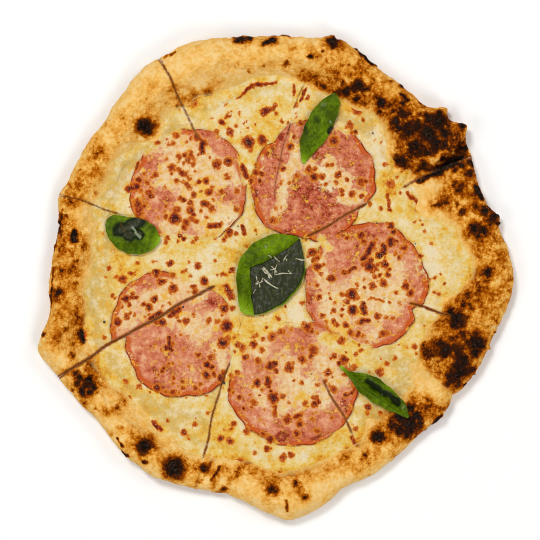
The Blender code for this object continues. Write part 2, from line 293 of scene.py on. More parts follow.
def mark_field(x, y, marks, stacked=False):
    """Round marks and strokes: 1 in a mark's middle, 0.37 at its radius. A mark is x, y, radius,
    or x, y, x, y, radius for a stroke, and its strength may follow. Stacked marks add up."""
    field = np.zeros(x.shape)
    for mark in marks:
        ax, ay = mark[:2]
        bx, by = mark[2:4] if len(mark) > 4 else mark[:2]
        radius, *strength = mark[4:] if len(mark) > 4 else mark[2:]
        reach = MARK_REACH * radius
        near = ((x > min(ax, bx) - reach) & (x < max(ax, bx) + reach)
                & (y > min(ay, by) - reach) & (y < max(ay, by) + reach))
        off_x, off_y = x[near] - ax, y[near] - ay
        long = max((bx - ax) ** 2 + (by - ay) ** 2, 1e-9)
        share = np.clip((off_x * (bx - ax) + off_y * (by - ay)) / long, 0, 1)
        square = (off_x - share * (bx - ax)) ** 2 + (off_y - share * (by - ay)) ** 2
        value = np.exp(-square / radius ** 2) * (strength[0] if strength else 1.0)
        below = field[near]
        field[near] = 1 - (1 - below) * (1 - value) if stacked else np.maximum(below, value)
    return field


def ease(value, low, high):
    """Rises smoothly from 0 to 1 as a value goes from low to high."""
    share = np.clip((value - low) / (high - low), 0, 1)
    return share * share * (3 - 2 * share)


def on_rim(*marks):
    """Marks given by bearing and distance from the middle, turned to x and y."""
    def spot(bearing, run):
        return run * math.cos(math.radians(bearing)), run * math.sin(math.radians(bearing))
    turned = []
    for mark in marks:
        far_end = spot(*mark[2:4]) if len(mark) > 4 else ()
        turned.append((*spot(*mark[:2]), *far_end, *mark[-2:]))
    return tuple(turned)


# Charred blisters: bearing, distance from the middle, radius and strength, or a stroke's two
# ends, radius and strength.
CHAR_MARKS = on_rim(
    # the right, from the lower bubble to the cut
    (354, 122, 3.2, 0.65), (351, 120, 2.2, 0.6), (350, 126, 2, 0.5), (348, 141.5, 3, 0.4),
    (345.5, 143.5, 1.2, 0.6), (356.5, 128, 3, 0.5), (352, 131, 1.8, 0.4), (1, 133, 3, 0.85),
    (-1.5, 132.5, 2, 0.6), (-1, 148.5, 2.2, 0.5), (3.5, 145.5, 1.5, 0.4), (-3, 143, 1.5, 0.4),
    (12, 133, 3.8, 0.95), (13.5, 128.5, 3, 0.9), (11, 129.5, 2.4, 0.8), (15, 143.5, 3.2, 1),
    (17.3, 138.5, 2.8, 0.9), (13, 143, 2, 0.8), (24, 138.5, 20.5, 138.5, 1.9, 0.9),
    (18.7, 123.5, 2.6, 0.85), (24, 109, 23, 117, 1.8, 0.5), (21.5, 123, 1.6, 0.5), (20, 127, 1, 0.4),
    (29.8, 143, 3, 1), (28, 139, 2.2, 0.7), (31, 137, 3, 0.9), (30.5, 130, 2.2, 0.7), (31.5, 124, 2, 0.6),
    (26, 130, 1.2, 0.4),
    # the hollow of the burst bubble and the bubble
    (33, 120, 32.5, 140, 3, 1), (33.5, 108, 33, 120, 2.2, 0.95), (34.5, 143, 3, 0.9), (35, 128, 2.5, 0.8),
    (39, 151, 2.4, 1), (40, 139, 3.4, 0.9), (39.5, 131, 3.8, 0.95), (43.5, 141, 4.2, 0.95),
    (44.8, 145.5, 2.2, 0.8), (43.5, 131.5, 5, 1), (47.5, 131, 2.6, 0.7), (47.5, 122.5, 3.2, 0.9),
    (50.5, 121.5, 3.4, 0.9), (43, 119.5, 4.2, 0.95), (39, 122.5, 3.2, 0.8), (36.5, 117, 3, 0.7),
    (42.5, 107.5, 4.4, 0.7), (46, 112.5, 2.5, 0.6), (39.5, 109, 2.5, 0.5), (46.3, 139, 2, 0.7),
    (49, 127, 2, 0.6),
    # the top
    (52.5, 123, 3.2, 0.85), (53, 138.5, 55.5, 139, 1.3, 0.85), (53.5, 134.5, 2, 0.8),
    (56.5, 144.5, 2.2, 0.85), (58.7, 127.5, 3, 0.85), (58, 123, 2.4, 0.7), (54.8, 128, 1.8, 0.6),
    (59.5, 142.5, 1.4, 0.6), (62, 147.5, 1.2, 0.5), (63.5, 138, 1, 0.6), (60, 133, 1.2, 0.5),
    (66.7, 130.5, 4, 0.95), (69.3, 124.5, 3.2, 0.9), (66, 122.5, 2.8, 0.8), (71, 129, 1.9, 0.7),
    (64, 131.5, 2, 0.6), (71.3, 122, 1.8, 0.7), (76, 123.5, 2, 0.6), (78.3, 125, 1.2, 0.5),
    (76.5, 152, 4.4, 0.8), (74.5, 150, 2.5, 0.5), (70.8, 153, 65.8, 147.5, 1.7, 0.95),
    (81.5, 140, 2.4, 0.85), (79.8, 140.5, 1.5, 0.6), (78.6, 144.5, 1.2, 0.8), (71, 141, 1.4, 0.4),
    (73, 138.5, 1.2, 0.4), (66.3, 143.5, 1.3, 0.4), (69, 146, 1.2, 0.5), (77, 139, 1.5, 0.35),
    (74, 134, 2, 0.35), (100, 151, 96.5, 151, 2.4, 0.9), (96.5, 150, 1.8, 0.7),
    (93.3, 147.5, 90.8, 148, 2.4, 0.9), (89.3, 153, 86.8, 152.5, 1.5, 0.85), (87.6, 134, 2, 0.6),
    (93.5, 133, 1.2, 0.4), (98, 130, 1.2, 0.4), (102.5, 115, 100.5, 117, 0.9, 0.5),
    (100.5, 117, 97.5, 121.5, 1.1, 0.6), (97.5, 121.5, 95, 121.5, 1.3, 0.75),
    (95, 121.5, 90, 123, 0.9, 0.55), (85, 121, 84.6, 116, 1.2, 0.5), (81.2, 120, 82.5, 112, 0.9, 0.75),
    # the upper left
    (117.5, 155.5, 114.5, 156, 1, 0.5), (112, 123, 110, 122, 1.1, 0.45), (115.5, 121, 1.5, 0.45),
    (120.5, 124, 1.7, 0.7), (131.5, 125.5, 5.4, 1), (135, 136.5, 1, 0.4), (126.5, 138, 1, 0.3),
    (140, 131, 0.8, 0.3), (146.5, 138, 2.4, 0.55), (150, 135, 1.5, 0.35), (155.5, 138, 2.6, 0.55),
    (161, 143, 156, 144, 1.2, 0.35), (160, 140, 1.6, 0.5), (152, 141, 1.2, 0.35),
    # the left
    (164.5, 139, 1.8, 0.6), (170.5, 131, 167.8, 131.5, 2.3, 0.95), (174, 142.5, 172, 142.5, 1, 0.6),
    (188, 145, 178, 142, 0.8, 0.7), (169, 142, 163, 142, 0.9, 0.55), (184.7, 139, 3.4, 0.8),
    (185, 144, 1.5, 0.5), (182.5, 127.5, 1.6, 0.5), (180, 137, 1.5, 0.4), (194.3, 152.5, 1.7, 0.8),
    (194.5, 138, 2, 0.45), (198.8, 130.5, 196.6, 129.5, 2.3, 0.95), (201.5, 140, 2.2, 0.7),
    (212.3, 140, 2.4, 0.95), (211, 144, 2.4, 0.95), (208.5, 144, 2.2, 0.9), (207.5, 140.5, 2.2, 0.9),
    (209, 136.5, 2.6, 0.95), (211.5, 136.5, 2.2, 0.9), (210, 140, 2, 0.6), (205.8, 141, 1.8, 0.7),
    (209, 148.5, 1.5, 0.6), (213.5, 147, 1.2, 0.6), (213.5, 136, 1.5, 0.5), (219.5, 148.5, 1.4, 0.8),
    (216.3, 142.5, 1.3, 0.6), (219, 139, 2.2, 0.45), (219.5, 131, 1.8, 0.4),
    # the bottom
    (230.7, 149, 228.5, 148.7, 1.2, 0.7), (228, 146, 225.5, 144.5, 0.8, 0.7), (234.8, 145.5, 1.9, 0.7),
    (232.3, 137, 4.6, 1), (242, 138.5, 7.2, 1), (233, 123, 231, 123, 1.6, 0.6), (249, 131, 2.6, 0.8),
    (253.3, 127, 252.2, 137, 1.2, 0.6), (250.8, 123, 250.2, 131, 0.8, 0.4),
    (250.8, 131, 249.8, 138, 0.8, 0.35), (256.2, 139, 255.5, 145, 1.6, 0.55), (258.5, 130, 1.8, 0.45),
    (255.5, 127, 1.5, 0.4), (268.5, 136, 4, 0.75), (275, 132.5, 2.7, 0.7), (277.3, 141.5, 2.2, 0.6),
    (272.4, 150, 272.2, 143, 0.9, 0.5), (271.8, 118, 1.6, 0.5), (274, 115, 1.4, 0.5), (269, 127, 2, 0.35),
    (296, 127, 2.2, 0.5), (296, 134, 1.5, 0.4), (294.6, 114, 295.2, 120, 1.4, 0.6), (302, 121, 3.8, 0.95),
    (295, 141, 1, 0.5),
    # the lower right
    (314.5, 126, 4.6, 1), (311.5, 127, 5.2, 1), (308.5, 126, 4.4, 0.9), (315, 119.5, 3.6, 0.95),
    (311, 118.5, 4, 0.95), (307.5, 120, 3, 0.7), (309, 131, 3, 0.8), (314, 131, 2.5, 0.8),
    (319.5, 137.5, 317, 137, 1.5, 0.8), (322.3, 139, 1.9, 0.7), (320.5, 133, 1.6, 0.5),
    (310.5, 136, 1.2, 0.5), (341, 135.5, 3.6, 1), (338.5, 134, 3.4, 1), (341.5, 130, 3.2, 0.8),
    (335.5, 130, 4.2, 1), (334, 126, 3, 0.9), (331, 131, 3, 0.9), (329, 134, 2.6, 0.8),
    (329.5, 127, 2.8, 0.8), (330, 138.5, 1.8, 0.9), (334, 139, 1.6, 0.8), (346.5, 117.5, 4.2, 0.95),
    (348, 113, 3, 0.9), (344, 117, 2.6, 0.8), (335.5, 117, 3.6, 0.95), (337, 112.5, 3, 0.8),
    (340, 118, 2.5, 0.6), (332, 108, 3, 0.6), (334.5, 104.5, 2.5, 0.5),
)

# Where the rim toasted from floury to golden and brown.
TOAST_MARKS = on_rim(
    (355, 130, 8, 0.9), (354, 142, 6, 0.6), (358, 130, 8, 0.9), (2, 133, 7, 0.9), (1, 144, 8, 0.75),
    (356, 146, 6, 0.6), (7, 135, 7, 0.75), (5, 144, 6, 0.7), (11, 131, 8, 1), (15, 139, 8, 1),
    (10, 141, 6, 0.7), (19, 133, 6, 0.8), (18.5, 124, 5, 1), (23, 116, 5, 1), (24.5, 109, 3.5, 0.9),
    (22, 137, 6, 0.9), (26, 133, 8, 0.85), (28, 125, 7, 0.8), (29, 138, 6, 0.9), (31, 143, 5, 1),
    (13, 124, 4, 0.6), (6, 127, 4, 0.5), (0, 124, 4, 0.6), (27, 142, 4, 0.8), (357, 120, 4, 0.5),
    (40, 140, 12, 1), (45, 130, 12, 1), (42, 112, 9, 1), (37, 112, 5, 0.9), (50, 130, 9, 1),
    (55, 130, 8, 1), (54, 139, 6, 0.9), (47, 113, 6, 0.9), (56, 122, 4, 0.8), (59, 127, 6, 1),
    (60, 138, 6, 0.5), (49, 142, 5, 0.9), (44, 104, 5, 0.6), (66, 128, 7, 1), (70, 124, 5, 1),
    (73, 122, 4, 1), (77, 124, 4, 0.95), (75, 129, 6, 0.8), (63, 131, 5, 0.9), (68, 148, 6, 0.9),
    (76, 151, 8, 0.9), (69, 139, 9, 0.55), (75, 139, 8, 0.5), (62, 143, 7, 0.6), (80, 141, 5, 0.6),
    (64, 122, 4, 0.8), (80, 128, 4, 0.6), (87.5, 134, 4, 0.7), (91, 148, 5, 0.7), (98, 151, 5, 0.7),
    (87, 151, 4, 0.5), (86, 144, 3, 0.6), (93, 134, 5, 0.35), (84, 131, 4, 0.4), (79.5, 127, 5, 1),
    (83, 127, 4, 0.8), (73, 128, 5, 0.8), (62, 127, 6, 0.9), (72, 134, 6, 0.5), (66, 138, 6, 0.5),
    (254.5, 126, 253, 140, 1.8, 0.65), (251.5, 122, 249.5, 140, 1.5, 0.65),
    (259, 125, 256, 140, 2.2, 0.65), (190, 128, 5, 0.6), (196, 127, 5, 0.6), (205, 128, 5, 0.5),
    (25.5, 119, 5, 0.9), (22, 120, 5, 1), (108, 126, 5, 0.5), (194, 126, 6, 0.6), (187, 125, 4, 0.5),
    (118, 127, 6, 0.5), (205, 126, 5, 0.6), (313, 118, 8, 0.7), (318, 128, 7, 0.7),
    (262, 119, 259, 127, 2.4, 0.9), (248.5, 137, 249, 147, 1.2, 0.6), (352, 138, 6, 0.4),
    (97, 131, 3, 0.4), (82, 147, 5, 0.3), (95, 142, 8, 0.2), (101, 143, 6, 0.15), (111, 123, 4, 0.9),
    (116, 122, 4.5, 0.95), (114.5, 125.5, 4, 0.95), (110.5, 124, 3, 0.7), (119, 135, 5, 0.6),
    (121, 128, 5, 0.5), (124, 140, 8, 0.25), (131.5, 126, 10, 0.6), (134, 140, 5, 0.4),
    (138, 135, 6, 0.35), (146, 137, 9, 0.75), (155, 137, 8, 0.8), (150, 131, 7, 0.6), (160, 139, 6, 0.9),
    (158, 132, 4, 0.4), (143, 143, 4, 0.4), (128, 133, 5, 0.4), (139, 144, 3, 0.5), (105, 140, 8, 0.15),
    (102, 150, 3, 0.3), (101, 136, 2, 0.5), (156, 126, 2.5, 0.8), (167, 138, 8, 1), (173, 137, 8, 1),
    (179, 137, 8, 0.95), (185, 138, 8, 0.9), (191, 139, 8, 0.8), (196, 145, 7, 0.7), (170, 128, 6, 0.8),
    (176, 126, 6, 1), (172, 124, 4, 1), (179, 128, 5, 0.9), (184, 128, 4, 0.8), (192, 130, 5, 0.95),
    (196, 131, 5, 0.9), (188, 124, 2, 0.5), (190, 133, 4, 0.6), (199, 136, 5, 0.7), (202, 140, 4, 0.6),
    (186, 127, 3, 0.9), (209, 140, 9, 1), (206, 131, 4, 1), (209, 130, 5, 0.95), (213, 132, 4, 0.9),
    (206, 143, 4, 0.9), (213, 146, 5, 0.7), (210, 127, 4, 0.7), (204, 148, 3, 0.6), (219.5, 132, 4, 1),
    (219.5, 126, 3, 0.7), (217, 125, 2.5, 0.7), (215.3, 118, 2.5, 0.6), (218, 139, 4, 0.6),
    (224.5, 138, 3, 0.8), (224, 146, 3, 0.4), (217, 146, 4, 0.3), (232, 137, 9, 0.85), (227, 136, 3, 0.6),
    (235, 134, 4, 0.6), (229, 140, 4, 0.5), (242, 138, 9, 0.7), (248, 132, 5, 0.8), (252, 132, 4, 0.4),
    (256, 130, 4, 0.45), (258, 129, 4, 0.6), (256, 143, 3, 0.8), (261, 120, 3, 0.9), (259, 121, 3, 0.8),
    (264, 124, 4, 0.7), (249, 123, 3, 0.8), (225.5, 120, 3, 0.6), (237, 124, 3, 0.4), (248, 144, 3, 0.4),
    (262, 126, 5, 0.5), (266, 127, 6, 0.5), (270, 126, 6, 0.6), (274, 126, 6, 0.65), (278, 127, 6, 0.6),
    (283, 128, 6, 0.5), (272, 120, 4, 0.7), (269, 135, 7, 0.8), (276, 135, 5, 0.6), (277, 141, 4, 0.5),
    (286, 124, 6, 0.4), (289, 127, 5, 0.5), (290, 122, 4, 0.6), (268, 119, 2.5, 0.6), (293, 130, 7, 0.5),
    (296, 128, 5, 0.9), (296, 118, 3, 0.8), (292, 120, 4, 0.6), (302, 121, 7, 0.9), (299, 130, 6, 0.4),
    (305, 129, 5, 0.6), (303, 136, 3, 0.5), (311, 125, 12, 1), (306, 118, 6, 0.9), (308, 112, 5, 0.7),
    (319, 131, 6, 1), (320, 123, 4, 0.9), (318, 117, 4, 0.9), (322, 136, 4, 0.9), (312, 136, 5, 0.6),
    (341, 132, 10, 1), (333, 131, 10, 1), (345, 117, 9, 1), (337, 118, 9, 1), (331, 112, 7, 1),
    (336, 107, 6, 0.9), (349, 112, 6, 0.9), (327.5, 128, 4, 0.8), (343, 107, 6, 0.8), (352, 121, 8, 1),
    (350, 134, 8, 0.75), (346, 141, 6, 0.7), (329, 119, 5, 0.9), (60, 111, 4.5, 0.5), (66, 113, 4.5, 0.5),
    (71, 115, 4, 0.5),
)

# Broad scorched areas, brown to black.
SCORCH_MARKS = on_rim(
    (131.5, 125.5, 7, 0.7), (209.8, 140, 7, 0.7), (232.3, 137, 6, 0.7), (242, 138, 7, 0.9),
    (311, 125, 9, 1), (302, 121, 4.5, 0.8), (341, 133, 8, 1), (333, 130, 9, 1), (346, 117, 7, 0.95),
    (336, 117, 7, 0.95), (333, 108, 6, 0.75), (342, 125, 6, 0.8), (329, 131, 6, 0.85), (353, 122, 5, 0.45),
    (12.5, 131, 5, 0.8), (15.5, 142, 5, 0.8), (23, 138, 4, 0.6), (31, 141, 5, 0.8), (31.5, 132, 4, 0.75),
    (33, 122, 4, 0.9), (38, 135, 8, 1), (43, 142, 7, 1), (43, 132, 9, 1), (48, 123, 7, 0.95),
    (42, 119, 7, 0.95), (42, 108, 6, 0.9), (37, 115, 5, 0.8), (51, 130, 6, 0.8), (47, 138, 5, 0.8),
    (52, 122, 5, 0.9), (58.5, 127, 4.5, 0.8), (66.5, 129, 6, 0.9), (70, 124, 5, 0.85), (76.5, 152, 5, 0.7),
    (66, 122, 4, 0.6), (54, 138, 4, 0.6), (1, 133, 4, 0.6), (318, 137, 3, 0.6), (186, 140, 4, 0.5),
    (172, 142, 165, 142, 2, 0.6), (198, 130, 3.5, 0.6), (169, 131, 4, 0.6), (249, 131, 4, 0.6),
    (268.5, 136, 4, 0.6), (77, 124, 5, 0.6), (81, 126, 4, 0.5), (61, 127, 5, 0.7), (56, 130, 5, 0.5),
    (62, 134, 5, 0.4), (354, 127, 6, 0.3), (8, 133, 6, 0.3), (3, 136, 6, 0.2), (24, 117, 4, 0.5),
    (25, 127, 5, 0.6), (13, 128, 7, 0.7), (318, 126, 6, 0.7), (334, 127, 8, 0.8), (25, 132, 8, 0.6),
    (15, 138, 7, 0.4), (28, 140, 6, 0.6), (19, 134, 6, 0.5), (38, 144, 7, 0.8), (40, 126, 8, 0.9),
    (45, 137, 7, 0.9), (35, 141, 5, 0.9), (34, 132, 5, 0.9), (34.5, 120, 5, 0.9), (47, 130, 6, 0.8),
    (337, 124, 9, 0.7),
)

# Where pale cream ran up on the rim, and the bare lip of the burst bubble.
CREAM_MARKS = on_rim(
    (326, 98, 326.3, 131, 3.2, 0.95), (36.5, 122, 37, 147, 0.55, 0.9), (202, 148, 3, 0.6),
)

DOUGH_COLUMNS = 190
WALL_STEPS = 3
FLOOR_STEPS = 6
SLOPE_STEPS = 58
SHOULDER_STEPS = 32
UNDER_STEPS = 22        # how many of the shoulder's rows the overhang below mirrors
SHIFT_COLUMNS = 12


def wheel_shift():
    """What centres the wheel's box on the origin, from the outline of its slices."""
    outline = []
    for piece in range(len(CUTS)):
        across = np.linspace(0, 1, SHIFT_COLUMNS + 1)
        outline.append(np.stack(slice_place(piece, across, slice_reach(piece, across))))
    outline = np.concatenate(outline, axis=1)
    return -(outline.min(axis=1) + outline.max(axis=1)) / 2


SHIFT = wheel_shift()


def lip_side(x, y):
    """Distance from the torn lip's line towards the cut, and the share along the lip."""
    long_x, long_y = LIP_TO[0] - LIP_FROM[0], LIP_TO[1] - LIP_FROM[1]
    long = math.hypot(long_x, long_y)
    side = ((x - LIP_FROM[0]) * long_y - (y - LIP_FROM[1]) * long_x) / long
    along = ((x - LIP_FROM[0]) * long_x + (y - LIP_FROM[1]) * long_y) / long ** 2
    return side, along


def sunk_edge(x, y, height):
    """How far the last slice's edge sank beside the burst bubble, less where it is low."""
    run = np.hypot(x - CUT_MIDDLE[0], y - CUT_MIDDLE[1])
    off = off_cut(len(CUTS), x, y)
    sunk = SUNK_DEPTH * np.exp(-(off / SUNK_WIDTH) ** 2) * ease(run, SUNK_FROM, SUNK_FROM + SUNK_EASE)
    return sunk * (off < 0) * np.clip(height / CREST_HEIGHT, 0, 1)


def torn_dough(piece, x, y, z):
    """Sinks the hollow of the burst bubble and lifts the lip beside it."""
    if piece == 0:
        side, along = lip_side(*wobbled(x, y, 1.1, 4.0, 31))
        reach = ease(along, *LIP_START)
        hollow = ease(side, 0.0, HOLLOW_EASE) * reach
        lip = np.exp(-(np.minimum(side, 0) / LIP_WIDTH) ** 2) * reach * (side < HOLLOW_EASE)
        floor = HOLLOW_FLOOR * np.minimum(1.0, z / HOLLOW_FLOOR)
        return z * (1 - hollow) + floor * hollow + LIP_RISE * lip * (1 - hollow) * (z > HOLLOW_FLOOR)
    if piece == len(CUTS) - 1:
        return z - sunk_edge(x, y, z)
    return z


def rows_of_profile(piece, across):
    """x, y, z arrays of rows that run over a slice from its point to under the rim."""
    broad_reach = slice_reach(piece, across, BROAD_SWELLS)
    floor_end = broad_reach - bare_width(*slice_place(piece, across, broad_reach)) - SLOPE_RUN
    reach = slice_reach(piece, across)
    rim_x, rim_y = slice_place(piece, across, reach)
    crest_at = CREST_SHARE * bare_width(rim_x, rim_y)
    crest = crest_height(rim_x, rim_y)
    waist = WAIST_SHARE * crest
    rows = []
    runs = [TIP_RADIUS + (floor_end - TIP_RADIUS) * share for share in np.linspace(0, 1, FLOOR_STEPS + 1)]
    crest_run = reach - crest_at
    runs += [floor_end + (crest_run - floor_end) * share for share in np.linspace(0, 1, SLOPE_STEPS + 1)[1:]]
    for run in runs:
        x, y = slice_place(piece, across, run)
        rows.append((x, y, dough_height(x, y)))
    for angle in np.linspace(90, 0, SHOULDER_STEPS + 1)[1:]:
        run = reach - crest_at * (1 - math.cos(math.radians(angle)))
        x, y = slice_place(piece, across, run)
        rise = math.sin(math.radians(angle))
        rows.append((x, y, waist + (crest - waist + bubble_height(x, y)) * rise))
    insets = [1 - math.cos(math.radians(angle)) for angle in np.linspace(0, 90, SHOULDER_STEPS + 1)]
    foot = insets[UNDER_STEPS]
    for inset in insets[1:UNDER_STEPS + 1]:
        x, y = slice_place(piece, across, reach - crest_at * inset)
        rows.append((x, y, waist * (1 - math.sqrt(1 - (1 - inset / foot) ** 2))))
    return np.array(rows).transpose(1, 0, 2)


def underside(z):
    """Heights of a slice's underside below its rows: the overhang's near the rim, else the table's."""
    outermost = len(z) - 1 - UNDER_STEPS
    low = np.zeros_like(z)
    low[outermost:] = z[outermost:]
    low[outermost - UNDER_STEPS:outermost] = z[:outermost:-1]
    return low


def with_walls(places, low):
    """Adds columns down both cut faces and rows down the blunt point, to the heights below."""
    x, y, z = places
    shares = np.linspace(0, 1, WALL_STEPS + 1)[:-1]
    row_drop = np.ones(x.shape[0])
    column_drop = np.concatenate([shares, np.ones(x.shape[1]), shares[::-1]])
    row_drop = np.concatenate([shares, row_drop])
    pad = ((WALL_STEPS, 0), (WALL_STEPS, WALL_STEPS))
    x, y, z, low = (np.pad(part, pad, mode="edge") for part in (x, y, z, low))
    return np.array([x, y, low + (z - low) * np.minimum.outer(row_drop, column_drop)])


def deselect_all():
    bpy.ops.object.select_all(action="DESELECT")


def laid_grid(name, places):
    """A grid primitive whose rows and columns are laid on x, y, z arrays in millimetres."""
    rows, columns = places.shape[1:]
    deselect_all()
    bpy.ops.mesh.primitive_grid_add(x_subdivisions=columns - 1, y_subdivisions=rows - 1, size=2)
    piece = bpy.context.object
    piece.name = piece.data.name = name
    flat = np.empty(len(piece.data.vertices) * 3)
    piece.data.vertices.foreach_get("co", flat)
    corner = flat.reshape(-1, 3)
    column = np.rint((corner[:, 0] + 1) / 2 * (columns - 1)).astype(int)
    row = np.rint((corner[:, 1] + 1) / 2 * (rows - 1)).astype(int)
    laid = places[:, row, column].T.copy()
    laid[:, :2] += SHIFT
    piece.data.vertices.foreach_set("co", (laid * MM).ravel())
    piece.data.update()
    return piece


def close_below(piece, merge=1e-7, sharp=60):
    """Merges doubled corners, fills the open underside and turns the faces outwards."""
    bpy.context.view_layer.objects.active = piece
    bpy.ops.object.mode_set(mode="EDIT")
    bpy.ops.mesh.select_all(action="SELECT")
    bpy.ops.mesh.remove_doubles(threshold=merge)
    bpy.ops.mesh.dissolve_degenerate(threshold=merge)
    bpy.ops.mesh.select_all(action="DESELECT")
    bpy.ops.mesh.select_mode(type="EDGE")
    bpy.ops.mesh.select_non_manifold(
        extend=False, use_wire=False, use_multi_face=False, use_non_contiguous=False)
    bpy.ops.mesh.edge_face_add()
    bpy.ops.mesh.select_all(action="SELECT")
    bpy.ops.mesh.normals_make_consistent(inside=False)
    bpy.ops.object.mode_set(mode="OBJECT")
    bpy.ops.object.shade_smooth_by_angle(angle=math.radians(sharp))


def vertices_of(piece):
    """x, y, z of a piece's vertices in millimetres, about the wheel's own middle."""
    flat = np.empty(len(piece.data.vertices) * 3)
    piece.data.vertices.foreach_get("co", flat)
    places = flat.reshape(-1, 3) / MM
    return places[:, 0] - SHIFT[0], places[:, 1] - SHIFT[1], places[:, 2]


def painted(piece, **fields):
    """Stores fields from 0 to 1 on a piece's vertices, for its material to read."""
    for name, values in fields.items():
        attribute = piece.data.attributes.new(name, "FLOAT", "POINT")
        attribute.data.foreach_set("value", np.clip(values, 0, 1).astype(np.float32))


def outward_of(places):
    """Unit normals of rows and columns of places, pointing up or out."""
    along = np.gradient(places, axis=1)
    across = np.gradient(places, axis=2)
    normal = np.cross(across, along, axis=0)
    normal /= np.maximum(np.linalg.norm(normal, axis=0), 1e-9)
    return normal * np.where(normal[2:3].mean() < 0, -1, 1)


CREAM_UNEVEN = 3.0      # how far the cream's edge wanders
CREAM_FADE = (-7.5, 1.0)        # distances in from that edge between which the crust turns creamy

# Down the rim's side the marks end unevenly, and stray sideways near the table.
SIDE_ENDS = (3.0, 5.0)  # distances in from the outermost line where the side ends
MARKS_FADE = (1.0, 5.0)         # heights between which the marks fade downwards
SIDE_FADE_UP = 2.0      # how much higher they fade on the side
SIDE_UNEVEN = 2.5
STRAY = 5.0
STRAY_ENDS = (5.0, 10.0)        # heights between which the straying ends

# The skin's lumps: height, size, octaves, seed. Then what stands on them.
SKIN_LUMPS = ((1.1, 17.0, 2, 1), (0.55, 6.0, 2, 4), (0.2, 1.9, 2, 9))
CHAR_RISE = 0.9
CHAR_CRACKLE = 0.5
SCORCH_CRACKLE = 1.1
PIT_DEPTH = 0.5
CREAM_SMOOTHS = 0.75    # the share of all this that cream hides
BARE_EASE = 8.0         # how far the lumps fade in on the slope
CUT_EASE = 0.02         # share of a slice's width where the skin calms towards a cut
WORN_DEPTH = 0.9        # of a cut's rounded edge
WORN_WIDTH = 1.4
CUT_SHADE_WIDTH = 1.3     # of the painted shade at a cut, a brown line


def cream_inside(x, y):
    """Distance in from the cream's uneven edge on the rim's slope."""
    return inward(x, y) - cream_width(x, y) + CREAM_UNEVEN * grain(x, y, np.zeros_like(x), 11.0, 3, 21)


def crust_fields(x, y, z):
    """Char, toast, scorch and cream of the dough's skin. Marks stray and end down the rim's side."""
    side = 1 - ease(inward(x, y), *SIDE_ENDS)
    fade_up = side * (SIDE_FADE_UP + SIDE_UNEVEN * grain(x, y, z, 6.0, 2, 33))
    on_top = ease(z - fade_up, *MARKS_FADE)
    stray = STRAY * side * (1 - ease(z, *STRAY_ENDS))
    x, y = x + stray * grain(x, y, z, 9.0, 2, 35), y + stray * grain(x, y, z, 9.0, 2, 37)
    mark_x, mark_y = wobbled(x, y, 0.9, 3.0, 3)
    char = mark_field(mark_x, mark_y, CHAR_MARKS) * on_top
    toast = mark_field(x, y, TOAST_MARKS, stacked=True)
    scorch = mark_field(*wobbled(x, y, 2.0, 6.0, 8), SCORCH_MARKS) * on_top
    cream = ease(cream_inside(x, y), *CREAM_FADE)
    cream = np.maximum(cream, mark_field(mark_x, mark_y, CREAM_MARKS))
    return char, toast, scorch, cream


def skin_lift(x, y, z):
    """How far the dough's skin stands off its smooth shape: lumps, blisters and pits."""
    char, toast, scorch, cream = crust_fields(x, y, z)
    exposed = ease(bare_width(x, y) + SLOPE_RUN - inward(x, y), 0, BARE_EASE) * ease(z, 0.0, 3.0)
    swell = layered(x, y, z, SKIN_LUMPS)
    blister = CHAR_RISE * ease(char, 0.2, 0.9)
    crackle = CHAR_CRACKLE * ease(char, 0.3, 0.7) + SCORCH_CRACKLE * ease(scorch, 0.2, 0.8)
    crackle = crackle * grain(x, y, z, 3.0, 3, 14)
    pits = -PIT_DEPTH * ease(grain(x, y, z, 2.6, 1, 17), 0.85, 1.3) * ease(toast, 0.3, 0.8)
    return (swell + blister + crackle + pits) * exposed * (1 - CREAM_SMOOTHS * cream)


def dough_slice(piece):
    """One slice's dough: its bumpy skin laid over the wedge, closed by walls and a flat underside."""
    across = np.linspace(0, 1, DOUGH_COLUMNS + 1)
    places = rows_of_profile(piece, across)
    x, y, z = places
    places[2] = torn_dough(piece, x, y, z)
    lift = skin_lift(*places)
    calm = ease(np.minimum(across, 1 - across)[None, :] * np.ones_like(x), 0.0, CUT_EASE)
    cut_edge = WORN_DEPTH * cut_wear(x, y, WORN_WIDTH) * ease(z, 0.0, 3.0)
    places = places + outward_of(places) * lift * np.array([calm, calm, np.ones_like(x)])
    places[2] = np.maximum(places[2] - cut_edge, 0)
    skin = laid_grid(f"baked_dough_{piece + 1}", with_walls(places, underside(places[2])))
    close_below(skin)
    x, y, z = vertices_of(skin)
    char, toast, scorch, cream = crust_fields(x, y, z)
    # The cuts' field also marks where brown shade is painted along them.
    painted(skin, char=char, toast=toast, scorch=scorch, cream=cream,
            wear=cut_wear(x, y, CUT_SHADE_WIDTH), under=1 - ease(z, 0.5, 4.0))
    return skin


# The skin of the crust, from floury dough to char, by how far it baked.
BAKED = (
    (0.00, (0.91, 0.61, 0.240)), (0.16, (0.885, 0.50, 0.118)), (0.36, (0.755, 0.325, 0.043)),
    (0.52, (0.575, 0.188, 0.009)), (0.65, (0.42, 0.100, 0.001)), (0.76, (0.29, 0.055, 0.000)),
    (0.86, (0.165, 0.030, 0.001)), (0.93, (0.075, 0.016, 0.002)), (1.00, (0.026, 0.008, 0.004)),
)
CHARRED = ((0.36, (0.004, 0.003, 0.002)), (0.50, (0.012, 0.006, 0.003)), (0.66, (0.050, 0.032, 0.024)))
CREAMED = ((0.35, (0.85, 0.58, 0.21)), (0.65, (0.80, 0.47, 0.10)))
FLOURY_ROUGHNESS = 0.9
CREAMY_ROUGHNESS = 0.6
BAKED_UNDER = (0.66, 0.40, 0.15)
SPOTTED_UNDER = (0.22, 0.075, 0.018)
# Painted shade: the brown of a cut's shadowed crevice.
CUT_SHADE_BROWN = (0.30, 0.080, 0.008)


